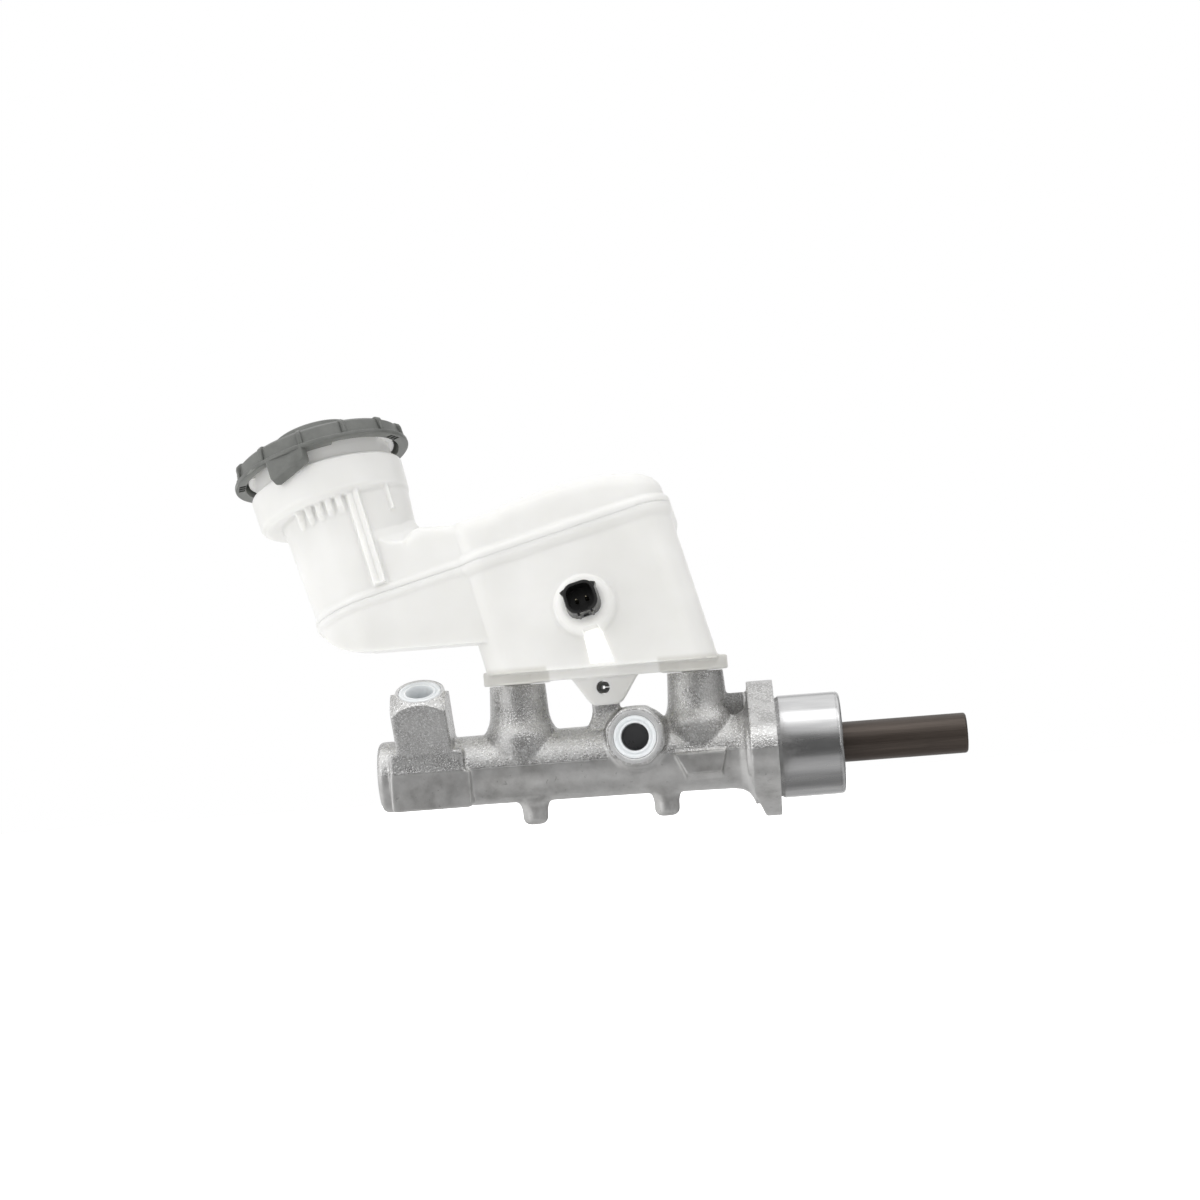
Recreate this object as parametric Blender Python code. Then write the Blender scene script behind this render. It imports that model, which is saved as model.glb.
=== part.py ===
"""Tandem brake master cylinder with an offset-neck fluid reservoir.

Frame: origin at the centre of the closed nose face on the bore axis, +X along
the bore towards the booster, +Z up to the reservoir, -Y towards the side port.
Lengths in this file are millimetres; meshes are made in metres.
"""
import math

import bmesh
import bpy
from mathutils import Matrix, Vector

MM = 0.001
SEG = 20                  # facets of the bore and everything that fits it
SHARP_ANGLE = math.radians(32)

# ---- driving dimensions ------------------------------------------------------
BORE_R = 10.32            # 13/16 inch bore
LAND_R = BORE_R - 0.24    # piston lands
BARREL_END = 181.5        # open end of the cylinder casting
SLEEVE_X = 147.0          # where the barrel steps up to the sleeve
SLEEVE_R = 20.0           # pilot that enters the booster
GUIDE_BORE_R = 13.6       # counterbore in the sleeve
FLANGE_X0, FLANGE_X1 = 145.5, 156.0
FLANGE_R = 26.5
STUD_SPACING = 70.0
BOLT_Y = STUD_SPACING / 2
BOLT_R = 4.5              # M8 studs, clearance
EAR_R = 11.3
TAIL_R = 7.85             # plunger tail
TAIL_END = 230.0
TURRET_X = (56.4, 126.3)
TURRET_TOP = 32.0
SOCKET_R = 8.2
STOP_PIN_X = 59.7
PORT_R = 6.1              # M12 x 1 outlet threads, drawn plain
PORT_FACE_R = 8.6         # shallow seat around each outlet
PORT_SEAT_DEPTH = 1.6
FRONT_PORT_X, FRONT_PORT_Z = 101.9, 8.7
FRONT_PORT_H = 27.0       # outlet faces, measured from the plane of the bore axis
TOP_PORT_X = 19.6
TOP_PORT_H = 36.9
TOP_PORT_TILT = math.radians(28.0)    # from vertical towards -Y
PIN_X, PIN_Z = 90.3, 28.6             # roll pin that holds the reservoir
PIN_HOLE_R = 2.6

# reservoir: x runs along the seam, z up from it, unless marked as bore frame
SEAM_TILT = math.radians(14.0)        # lean along X
SEAM_LEAN = math.radians(10.5)        # lean along Y
SEAM_ORIGIN = (78.7, 9.2, 85.0)       # bore frame
SEAM_GAP = 0.3            # each shell stops this far from the seam plane
BRIM_H = 2.2
MAIN_BRIM, LOBE_BRIM = 3.2, 1.2       # overhang of the brims
WALL = 2.2
MAIN_X0, MAIN_X1, MAIN_HALF_Y, MAIN_CORNER_R = -43.4, 43.9, 26.0, 12.0
LOBE_X, LOBE_R = -79.0, 24.0
LOBE_END_X = -25.0        # square end of the lobe, inside the main tank
LOBE_FLOOR_Z = 49.5       # bore frame
COLLAR_Z = 32.3           # underside of the base collars, bore frame
DEEP_Z = -95              # below every floor, before trimming
NECK_X = LOBE_X
CAP_X = -83.0             # neck mouth and cap axis
LIP_H = 63.0              # cap lip above the seam
CHANNEL_X = 1.2
CHANNEL_BOTTOM, CHANNEL_ROOF = -62, -40.5
SENSOR_X, SENSOR_UP = 1.6, -30.5
# swept-up corner under the nose end of the lobe, as (X, Z) in the bore frame
CORNER = [(-60, 40), (-3, 40), (-3, 49.2), (-12.5, 51.8), (-19.2, 56.2), (-23.0, 63.5), (-60, 80)]


# ---- frames ------------------------------------------------------------------
def frame(origin, z_direction, x_hint=(0, 0, 1)):
    """Matrix whose local Z runs along z_direction, in millimetres."""
    z_axis = Vector(z_direction).normalized()
    x_axis = Vector(x_hint)
    if abs(x_axis.normalized().dot(z_axis)) > 0.99:
        x_axis = Vector((1, 0, 0))
    x_axis = (x_axis - z_axis * x_axis.dot(z_axis)).normalized()
    matrix = Matrix((x_axis, z_axis.cross(x_axis), z_axis)).transposed().to_4x4()
    matrix.translation = Vector(origin)
    return matrix


def upright(x):
    """Vertical axis that crosses the bore axis at x."""
    return frame((x, 0, 0), (0, 0, 1))


def in_metres(matrix):
    scaled = matrix.copy()
    scaled.translation = matrix.translation * MM
    return scaled


WORLD = Matrix.Identity(4)
BORE = frame((0, 0, 0), (1, 0, 0))
TOP = frame((TOP_PORT_X, 0, 0), (0, -math.sin(TOP_PORT_TILT), math.cos(TOP_PORT_TILT)), (1, 0, 0))
FRONT = frame((FRONT_PORT_X, 0, FRONT_PORT_Z), (0, -1, 0), (1, 0, 0))
# outline plane to extrusion direction
YZ_ALONG_X = Matrix(((0, 0, 1), (1, 0, 0), (0, 1, 0))).to_4x4()
XZ_ALONG_Y = Matrix(((1, 0, 0), (0, 0, 1), (0, 1, 0))).to_4x4()
XZ_ALONG_MINUS_Y = Matrix(((1, 0, 0), (0, 0, -1), (0, 1, 0))).to_4x4()

SEAM_UP = Vector((-math.tan(SEAM_TILT), math.tan(SEAM_LEAN), 1.0)).normalized()
SEAM_ALONG = Vector((math.cos(SEAM_TILT), 0.0, math.sin(SEAM_TILT)))
RESERVOIR = Matrix((SEAM_ALONG, SEAM_UP.cross(SEAM_ALONG), SEAM_UP)).transposed().to_4x4()
RESERVOIR.translation = Vector(SEAM_ORIGIN)
FROM_WORLD = RESERVOIR.inverted()     # bore frame seen from the reservoir frame
NECK_AXIS = Matrix.Translation((NECK_X, 0, 0))
CAP_AXIS = Matrix.Translation((CAP_X, 0, 0))
# sensor axis: local Z points away from the connector, local Y points down
SENSOR_LOCAL = frame((SENSOR_X, 0, SENSOR_UP), (0, 1, 0), (1, 0, 0))
SENSOR = RESERVOIR @ SENSOR_LOCAL

for old in list(bpy.data.objects):
    bpy.data.objects.remove(old, do_unlink=True)


# ---- materials ---------------------------------------------------------------
def material(name, color, roughness, metallic=0.0):
    made = bpy.data.materials.new(name)
    made.use_nodes = True
    inputs = made.node_tree.nodes["Principled BSDF"].inputs
    inputs["Base Color"].default_value = (*color, 1.0)
    inputs["Roughness"].default_value = roughness
    inputs["Metallic"].default_value = metallic
    return made


CAST = material("cast_aluminium", color=(0.55, 0.55, 0.56), roughness=0.55, metallic=0.9)
STEEL = material("zinc_steel", color=(0.62, 0.62, 0.63), roughness=0.35, metallic=1.0)
TURNED = material("turned_aluminium", color=(0.70, 0.70, 0.71), roughness=0.3, metallic=1.0)
TAIL = material("anodised_tail", color=(0.09, 0.075, 0.065), roughness=0.4, metallic=0.7)
RUBBER = material("black_rubber", color=(0.02, 0.02, 0.02), roughness=0.7)
WHITE = material("reservoir_plastic", color=(0.88, 0.88, 0.86), roughness=0.45)
GREY = material("cap_plastic", color=(0.19, 0.195, 0.185), roughness=0.5)
BLACK = material("connector_plastic", color=(0.015, 0.015, 0.015), roughness=0.4)
PLUG = material("plug_plastic", color=(0.78, 0.83, 0.87), roughness=0.4)
NYLON = material("nylon", color=(0.75, 0.72, 0.62), roughness=0.5)
BRASS = material("tinned_brass", color=(0.75, 0.68, 0.45), roughness=0.3, metallic=1.0)
GLASS = material("reed_glass", color=(0.6, 0.75, 0.65), roughness=0.1)
MAGNET = material("ferrite", color=(0.05, 0.05, 0.055), roughness=0.6, metallic=0.2)
FLOAT = material("float_foam", color=(0.55, 0.5, 0.4), roughness=0.7)


# ---- solids ------------------------------------------------------------------
# Pieces that are only joined or cut away keep the default material; the result
# takes the material of the piece they are combined into.
def finish(mesh, name, matrix, mat, smooth=True):
    """Place and clean a bmesh and link it as an object."""
    bmesh.ops.transform(mesh, matrix=in_metres(matrix), verts=mesh.verts)
    bmesh.ops.remove_doubles(mesh, verts=mesh.verts, dist=1e-7)
    loose_edges = [e for e in mesh.edges if not e.link_faces]
    bmesh.ops.delete(mesh, geom=loose_edges, context="EDGES")
    loose_verts = [v for v in mesh.verts if not v.link_faces]
    bmesh.ops.delete(mesh, geom=loose_verts, context="VERTS")
    bmesh.ops.recalc_face_normals(mesh, faces=mesh.faces)
    if mesh.calc_volume(signed=True) < 0:
        bmesh.ops.reverse_faces(mesh, faces=mesh.faces)
    data = bpy.data.meshes.new(name)
    mesh.to_mesh(data)
    mesh.free()
    made = bpy.data.objects.new(name, data)
    bpy.context.scene.collection.objects.link(made)
    data.materials.append(mat)
    if smooth:
        data.shade_smooth()
        data.set_sharp_from_angle(angle=SHARP_ANGLE)
    return made


def lathe(name, profile, matrix=BORE, mat=CAST, segments=SEG, closed=False):
    """Turn a profile of (axial, radius) points about the local Z axis of matrix.
    A closed profile makes a ring; an open one starts and ends on the axis."""
    mesh = bmesh.new()
    verts = [mesh.verts.new((radius * MM, 0, axial * MM)) for axial, radius in profile]
    edges = [mesh.edges.new(pair) for pair in zip(verts, verts[1:])]
    if closed:
        edges.append(mesh.edges.new((verts[-1], verts[0])))
    bmesh.ops.spin(mesh, geom=verts + edges, cent=(0, 0, 0), axis=(0, 0, 1), dvec=(0, 0, 0),
                   angle=2 * math.pi, steps=segments, use_merge=True, use_duplicate=False)
    bmesh.ops.remove_doubles(mesh, verts=mesh.verts, dist=2e-6)
    return finish(mesh, name, matrix, mat)


def cylinder(name, start, end, radius, matrix, mat=CAST, segments=SEG):
    profile = [(start, 0), (start, radius), (end, radius), (end, 0)]
    return lathe(name, profile, matrix, mat, segments)


def rod(name, start, end, radius, segments=12, mat=CAST):
    """Cylinder between two points of the bore frame."""
    start = Vector(start)
    span = Vector(end) - start
    return cylinder(name, 0, span.length, radius, frame(start, span), mat, segments)


def ring(name, start, end, inner_r, outer_r, mat, chamfer=0.0, matrix=BORE):
    """Ring whose end faces slope outwards over the chamfer."""
    profile = [(start, inner_r), (start + chamfer, outer_r), (end - chamfer, outer_r),
               (end, inner_r)]
    return lathe(name, profile, matrix, mat, closed=True)


def bridge(mesh, rings):
    """Close a skin through vertex rings of equal length."""
    count = len(rings[0])
    for near, far in zip(rings, rings[1:]):
        for i in range(count):
            j = (i + 1) % count
            mesh.faces.new((near[i], near[j], far[j], far[i]))
    mesh.faces.new(rings[0])
    mesh.faces.new(rings[-1])


def loft(name, sections, matrix=WORLD, mat=CAST, smooth=True):
    """Solid through outlines [(points, height), ...] with equal point counts."""
    mesh = bmesh.new()
    bridge(mesh, [[mesh.verts.new((x * MM, y * MM, z * MM)) for x, y in points]
                  for points, z in sections])
    return finish(mesh, name, matrix, mat, smooth)


def prism(name, outline, bottom, top, matrix=WORLD, mat=CAST):
    return loft(name, [(outline, bottom), (outline, top)], matrix, mat)


def box(name, low, high, matrix=WORLD):
    outline = [(low[0], low[1]), (high[0], low[1]), (high[0], high[1]), (low[0], high[1])]
    return loft(name, [(outline, low[2]), (outline, high[2])], matrix, smooth=False)


def combine(target, tools, operation):
    """Boolean each tool into target, delete the tools and tidy the mesh."""
    for tool in tools:
        modifier = target.modifiers.new("b", "BOOLEAN")
        modifier.operation = operation
        modifier.solver = "EXACT"
        modifier.object = tool
        bpy.context.view_layer.update()
        depsgraph = bpy.context.evaluated_depsgraph_get()
        data = bpy.data.meshes.new_from_object(target.evaluated_get(depsgraph))
        target.modifiers.clear()
        target.data = data
        bpy.data.objects.remove(tool, do_unlink=True)
    data = target.data
    mesh = bmesh.new()
    mesh.from_mesh(data)
    bmesh.ops.remove_doubles(mesh, verts=mesh.verts, dist=2e-6)
    bmesh.ops.dissolve_degenerate(mesh, edges=mesh.edges, dist=2e-6)
    bmesh.ops.dissolve_limit(mesh, angle_limit=math.radians(0.4),
                             verts=mesh.verts, edges=mesh.edges)
    mesh.to_mesh(data)
    mesh.free()
    data.shade_smooth()
    data.set_sharp_from_angle(angle=SHARP_ANGLE)
    keep = data.materials[0]
    data.materials.clear()
    data.materials.append(keep)
    return target


def join(target, parts):
    return combine(target, parts, "UNION")


def cut(target, tools):
    return combine(target, tools, "DIFFERENCE")


# ---- outlines ----------------------------------------------------------------
def polar(radius, degrees):
    angle = math.radians(degrees)
    return radius * math.cos(angle), radius * math.sin(angle)


def arc(x, y, radius, count, start, end):
    """Points on an arc, both ends included, angles in degrees."""
    offsets = [polar(radius, start + (end - start) * i / (count - 1)) for i in range(count)]
    return [(x + across_x, y + across_y) for across_x, across_y in offsets]


def circle(x, y, radius, count):
    return arc(x, y, radius, count + 1, 0.0, 360.0)[:-1]


def rounded_rect(x_min, x_max, y_min, y_max, radius, steps=4):
    """Counter-clockwise, steps + 1 points per corner."""
    corners = ((x_max - radius, y_min + radius, -90), (x_max - radius, y_max - radius, 0),
               (x_min + radius, y_max - radius, 90), (x_min + radius, y_min + radius, 180))
    points = []
    for x, y, start in corners:
        points += arc(x, y, radius, steps + 1, start, start + 90)
    return points


def square(half, radius):
    return rounded_rect(-half, half, -half, half, radius)


def convex_hull(points):
    ordered = sorted(set((round(x, 6), round(y, 6)) for x, y in points))

    def half_hull(sequence):
        kept = []
        for point in sequence:
            while len(kept) > 1:
                (ax, ay), (bx, by) = kept[-2:]
                if (bx - ax) * (point[1] - ay) - (by - ay) * (point[0] - ax) > 1e-9:
                    break
                kept.pop()
            kept.append(point)
        return kept[:-1]
    return half_hull(ordered) + half_hull(ordered[::-1])


# ---- cylinder casting --------------------------------------------------------
# feet under the barrel: (X, length below the bore axis)
FEET = ((STOP_PIN_X, 22.1), (111.4, 23.0))
# reservoir sockets: (turret X, supply hole X, compensating hole X)
SOCKETS = ((TURRET_X[0], 62.0, 49.3), (TURRET_X[1], 131.0, 119.2))
HOLE_Z0, HOLE_Z1 = 8.0, 23.0          # ends of the socket-to-bore holes


def flange():
    def outline(inset):
        points = circle(0, 0, FLANGE_R - inset, 28)
        for side in (-1, 1):
            points += circle(side * BOLT_Y, 0, EAR_R - inset, 14)
        return convex_hull(points)
    return loft("flange", [(outline(1.6), FLANGE_X0), (outline(0.0), FLANGE_X0 + 1.8),
                           (outline(0.0), FLANGE_X1 - 0.6), (outline(0.5), FLANGE_X1)],
                YZ_ALONG_X)


def end_block():
    """Block on the port side of the nose end."""
    outline = rounded_rect(5.6, 36.4, -13.4, 8.9, 1.6, 2)
    face = rounded_rect(6.4, 35.6, -12.6, 8.1, 1.6, 2)
    return loft("end_block", [(outline, 0.0), (outline, 15.6), (face, 16.4)], XZ_ALONG_MINUS_Y)


def top_boss():
    """Square leaning boss with a rounded face."""
    return loft("top_boss", [(square(10.8, 2.2), 3.0), (square(10.8, 2.2), 33.0),
                             (square(10.1, 9.8), TOP_PORT_H)], TOP)


def front_boss():
    """Octagon with clipped corners, slightly tapered."""
    half_flat, corner_r = 10.8, 11.4

    def octagon(scale):
        points = []
        for i in range(24):
            degrees = 360.0 * i / 24
            from_flat = (degrees + 22.5) % 45 - 22.5
            radius = min(corner_r, half_flat / math.cos(math.radians(from_flat)))
            points.append(polar(scale * radius, degrees))
        return points
    return loft("front_boss", [(octagon(1.06), 4.0), (octagon(1.0), FRONT_PORT_H - 0.8),
                               (octagon(0.95), FRONT_PORT_H)], FRONT)


def turret(x):
    profile = [(4, 0), (4, 13.4), (12.2, 13.4), (14.4, 12.9), (17.0, 12.0), (20.5, 11.6),
               (TURRET_TOP - 0.7, 10.95), (TURRET_TOP, 10.3), (TURRET_TOP, 0)]
    return lathe("turret", profile, upright(x), segments=24)


def pin_lug():
    """Lug between the turrets that carries the roll pin."""
    return loft("lug", [(rounded_rect(83.2, 98.0, -6.4, 6.4, 2.0, 2), 8.0),
                        (rounded_rect(84.4, 96.8, -5.2, 5.2, 2.0, 2), 15.5),
                        (rounded_rect(85.2, 96.0, -4.4, 4.4, 1.6, 2), 18.0),
                        (rounded_rect(85.2, 96.0, -4.4, 4.4, 1.6, 2), 31.3)])


def side_pad():
    return loft("pad", [(rounded_rect(117.6, 134.8, -9.6, 1.6, 1.0, 2), 9.0),
                        (rounded_rect(118.7, 133.7, -9.0, 0.8, 1.0, 2), 16.8)],
                XZ_ALONG_MINUS_Y)


def foot(x, length):
    profile = [(8, 0), (8, 6.2), (13.6, 6.2), (15.6, 4.9), (length - 1.2, 4.7), (length, 3.6),
               (length, 0)]
    return lathe("foot", profile, frame((x, 0, 0), (0, 0, -1)), segments=14)


def bore_tool():
    """Bore, counterbore for the guide, snap-ring groove and mouth chamfer."""
    return lathe("bore", [
        (6.0, 0), (6.0, BORE_R - 0.6), (6.6, BORE_R), (160, BORE_R),
        (160, GUIDE_BORE_R), (175.2, GUIDE_BORE_R), (175.2, 14.8), (177.0, 14.8),
        (177.0, GUIDE_BORE_R), (180.6, GUIDE_BORE_R), (182.2, 15.2), (182.2, 0)])


def socket_tools(x, supply_x, compensating_x):
    mouth = SOCKET_R + 0.9
    profile = [(22.0, 0), (22.0, SOCKET_R), (TURRET_TOP - 0.8, SOCKET_R),
               (TURRET_TOP + 0.5, mouth), (TURRET_TOP + 0.5, 0)]
    return [lathe("socket", profile, upright(x)),
            rod("supply", (supply_x, 0, HOLE_Z0), (supply_x, 0, HOLE_Z1), 2.2),
            rod("compensating", (compensating_x, 0, HOLE_Z0), (compensating_x, 0, HOLE_Z1),
                0.5, segments=8)]


def port_tool(matrix, bottom, face, clear):
    """Outlet hole with its seat; clear is a height outside the boss."""
    seat = face - PORT_SEAT_DEPTH
    return lathe("port", [(bottom, 0), (bottom, PORT_R), (seat, PORT_R), (seat, PORT_FACE_R),
                          (clear, PORT_FACE_R), (clear, 0)], matrix)


def cylinder_body():
    body = lathe("cylinder_body", [
        (0, 0), (0, 11.6), (0.8, 13.0), (2.4, 13.9), (30, 13.6), (SLEEVE_X, 15.0),
        (SLEEVE_X, SLEEVE_R), (180.2, SLEEVE_R - 0.06), (BARREL_END, SLEEVE_R - 1.3),
        (BARREL_END, 0)], segments=28)
    parts = [flange(), end_block(), top_boss(), front_boss()]
    parts += [turret(x) for x in TURRET_X]
    parts += [pin_lug(), box("web", (130, -4.5, 5), (SLEEVE_X, 4.5, 22.4)), side_pad()]
    parts += [foot(x, length) for x, length in FEET]
    join(body, parts)

    tools = [bore_tool()]
    for row in SOCKETS:
        tools += socket_tools(*row)
    tools += [
        port_tool(FRONT, 14.6, FRONT_PORT_H, 29),
        rod("front_drill", (99.0, -17.5, 8.6), (89.6, -5.0, 3.0), 1.6),
        port_tool(TOP, 22.0, TOP_PORT_H, 39),
        cylinder("top_drill", 7, 23, 2.0, TOP, segments=12),
        rod("pin_hole", (PIN_X, -9, PIN_Z), (PIN_X, 9, PIN_Z), PIN_HOLE_R)]
    # stud holes, and a pocket in each side of the web
    pocket = rounded_rect(137.2, 144.4, 13.6, 30, 3.0, 3)
    for side, matrix in ((-1, XZ_ALONG_MINUS_Y), (1, XZ_ALONG_Y)):
        bolt_y = side * BOLT_Y
        tools.append(rod("bolt_hole", (140, bolt_y, 0), (160, bolt_y, 0), BOLT_R, segments=16))
        tools.append(prism("pocket", pocket, 2.2, 6.0, matrix))
    tools.append(rod("stop_hole", (STOP_PIN_X, 0, -24), (STOP_PIN_X, 0, -8), 1.9))
    cut(body, tools)


cylinder_body()


# ---- hydraulics inside the bore ----------------------------------------------
STEM_HOLE_R, SEAT_R = 4.7, 9.3        # spring seats on the piston stems
CUP_R = 10.0                          # cups in the main bore
SPRING_R, WIRE_R = 6.9, 1.05          # coil centre line and wire radii
POINTS_PER_TURN, WIRE_SIDES = 9, 5


def cup(name, start, end, inner_r, outer_r, forward=True):
    """Lipped pressure cup; its lips open towards the nose when forward."""
    depth = end - start
    # (distance from the lip edge, radius)
    section = [(0.0, inner_r + 0.9), (0.0, inner_r), (depth, inner_r), (depth, outer_r - 0.4),
               (0.0, outer_r), (0.0, outer_r - 0.9), (0.42 * depth, outer_r - 1.4),
               (0.42 * depth, inner_r + 1.3)]
    profile = [(start + x if forward else end - x, radius) for x, radius in section]
    return lathe(name, profile, mat=RUBBER, closed=True)


def spring(name, start, end, turns):
    """Compression spring along the bore axis with close-wound ends."""
    mesh = bmesh.new()
    total = int(turns * POINTS_PER_TURN)
    flat = 0.75 / turns   # share of the wire in each close-wound end
    end_rise = 1.3        # rise over each close-wound end, in wire radii
    rise = end - start - 2 * WIRE_R - 2 * end_rise * WIRE_R
    rings = []
    for i in range(total + 1):
        share = i / total
        angle = 2 * math.pi * turns * share
        middle = min(max((share - flat) / (1 - 2 * flat), 0.0), 1.0)
        x = start + WIRE_R * (1 + end_rise * min(share / flat, 1.0)) + rise * middle
        if share > 1 - flat:
            x += end_rise * WIRE_R * (share - (1 - flat)) / flat
        radial = Vector((0, math.cos(angle), math.sin(angle)))
        centre = Vector((x, 0, 0)) + radial * SPRING_R
        section = [polar(WIRE_R, 360 * k / WIRE_SIDES) for k in range(WIRE_SIDES)]
        rings.append([mesh.verts.new((centre + radial * outward + Vector((axial, 0, 0))) * MM)
                      for outward, axial in section])
    bridge(mesh, rings)
    return finish(mesh, name, WORLD, STEEL)


# stem, head, waist past the stop pin, rear lands, blind hole for the screw head
lathe("secondary_piston", [
    (41.0, 0), (41.0, 4.0), (41.6, 4.4), (54.2, 4.4), (54.2, LAND_R), (57.6, LAND_R),
    (57.6, 6.3), (77.5, 6.3), (77.5, LAND_R), (79.5, LAND_R), (79.5, 6.8), (84.0, 6.8),
    (84.0, LAND_R), (88.0, LAND_R), (88.0, 3.5), (70.0, 3.5), (70.0, 0)], mat=TURNED)
ring("secondary_spring_seat", 48.3, 49.7, STEM_HOLE_R, SEAT_R, STEEL)
cup("secondary_front_cup", 50.1, 53.9, STEM_HOLE_R, CUP_R)
cup("secondary_rear_cup", 79.9, 83.6, 7.1, CUP_R, forward=False)
spring("secondary_return_spring", 6.9, 48.0, turns=7.5)
# stem, head, long plunger with return shoulder, socket for the booster push rod
lathe("primary_piston", [
    (124.4, 0), (124.4, 1.9), (116.5, 1.9), (116.5, 4.0), (117.0, 4.4), (124.3, 4.4),
    (124.3, LAND_R), (127.9, LAND_R), (127.9, TAIL_R), (155.0, TAIL_R), (155.6, 9.7),
    (159.6, 9.7), (160.0, TAIL_R), (TAIL_END - 1.2, TAIL_R), (TAIL_END, TAIL_R - 1.2),
    (TAIL_END, 4.6), (TAIL_END - 38, 4.6), (TAIL_END - 41, 0)], mat=TAIL)
ring("primary_spring_washer", 118.1, 119.6, STEM_HOLE_R, SEAT_R, STEEL)
cup("primary_front_cup", 120.1, 123.9, STEM_HOLE_R, CUP_R)
lathe("primary_spring_retainer", [
    (88.3, 3.6), (88.3, 9.2), (89.4, 9.2), (89.4, 4.5), (97.0, 4.5), (97.0, 1.95),
    (96.0, 1.95), (96.0, 3.6)], mat=STEEL, closed=True)
lathe("retainer_screw", [
    (92.9, 0), (92.9, 2.6), (93.4, 3.1), (95.7, 3.1), (95.7, 1.5), (123.8, 1.5),
    (123.8, 0)], mat=STEEL, segments=16)
spring("primary_return_spring", 89.7, 117.8, turns=5.5)
# rod guide, stationary cup, washer and snap ring in the sleeve
ring("piston_guide", 160.4, 167.6, 8.1, 13.35, NYLON, chamfer=0.5)
cup("guide_cup", 168.0, 173.0, 8.1, 13.3)
ring("stop_washer", 173.3, 174.7, 8.2, 13.35, STEEL)
cut(ring("snap_ring", 175.5, 176.7, 11.4, 14.5, STEEL),
    [box("gap", (175.0, 8.0, -4.0), (177.5, 16.0, 4.0))])
# pin through the foot nearer the nose; it limits the secondary piston's return
rod("secondary_stop_pin", (STOP_PIN_X, 0, -21.6), (STOP_PIN_X, 0, -7.2), 1.6, mat=STEEL)
for grommet, turret_x in zip(("front_grommet", "rear_grommet"), TURRET_X):
    lathe(grommet, [(22.4, 4.4), (22.4, 7.6), (23.2, 7.95), (26.5, 7.6), (30.2, 7.95),
                    (31.9, 7.7), (31.9, 5.5), (24.0, 5.5), (23.4, 4.4)],
          upright(turret_x), RUBBER, closed=True)


# ---- reservoir ---------------------------------------------------------------
# Shells, strainer, cap and float are modelled in the reservoir frame, then placed.
def place(piece):
    piece.data.transform(in_metres(RESERVOIR))


def main_outline(offset=0.0):
    return rounded_rect(MAIN_X0 - offset, MAIN_X1 + offset, -MAIN_HALF_Y - offset,
                        MAIN_HALF_Y + offset, MAIN_CORNER_R + offset, 5)


def lobe_outline(offset=0.0):
    """Half-round towards the nose, square inside the main tank."""
    radius = LOBE_R + offset
    return arc(LOBE_X, 0, radius, 13, 90, 270) + [(LOBE_END_X, -radius), (LOBE_END_X, radius)]


def across(name, outline, y_min, y_max):
    """Prism along Y from (X, Z) points, all in the bore frame."""
    return prism(name, outline, y_min, y_max, FROM_WORLD @ XZ_ALONG_Y)


def below(z):
    """Everything under a height in the bore frame."""
    return box("below", (-150, -120, -120), (260, 120, z), FROM_WORLD)


def channel(offset, half_length):
    """Tapered channel that crosses under the main tank."""
    outline = [(CHANNEL_X - 5.2 - offset, CHANNEL_BOTTOM),
               (CHANNEL_X + 5.2 + offset, CHANNEL_BOTTOM),
               (CHANNEL_X + 3.6 + offset, CHANNEL_ROOF + offset),
               (CHANNEL_X - 3.6 - offset, CHANNEL_ROOF + offset)]
    tool = prism("channel", outline, -half_length, half_length, XZ_ALONG_MINUS_Y)
    return cut(tool, [below(37.9)])


def base_parts():
    """Base rail, collar and spigot for each turret, and the two pin tabs."""
    parts = [prism("rail", rounded_rect(56, 127, -11.5, 11.5, 2, 2), COLLAR_Z + 0.6, 37.7,
                   FROM_WORLD)]
    for x in TURRET_X:
        axis = FROM_WORLD @ upright(x)
        parts.append(cylinder("collar", COLLAR_Z, 38.1, 13.0, axis, segments=24))
        parts.append(cylinder("spigot", 24.8, 35, 5.1, axis))
    # (X, Z) in the bore frame
    tab = [(77.2, 34.5), (84.0, 24.0), (85.0, 22.7), (86.4, 21.8), (95.6, 21.8), (97.0, 22.7),
           (98.0, 24.0), (104.8, 34.5), (104.8, 36.0), (77.2, 36.0)]
    parts += [across("tab", tab, y_min, y_max) for y_min, y_max in ((-7.9, -4.9), (4.9, 7.9))]
    return parts


def lower_hollow():
    hollow = prism("hollow", main_outline(-WALL), DEEP_Z, 2)
    cut(hollow, [below(39.2)])
    lobe = prism("lobe_hollow", lobe_outline(-WALL), DEEP_Z, 1.5)
    inner_corner = [(x + 1.6, z + 2.0) for x, z in CORNER]
    cut(lobe, [below(LOBE_FLOOR_Z + WALL), across("corner", inner_corner, -91, 91)])
    join(hollow, [lobe])
    return cut(hollow, [channel(WALL, 60)])


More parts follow.
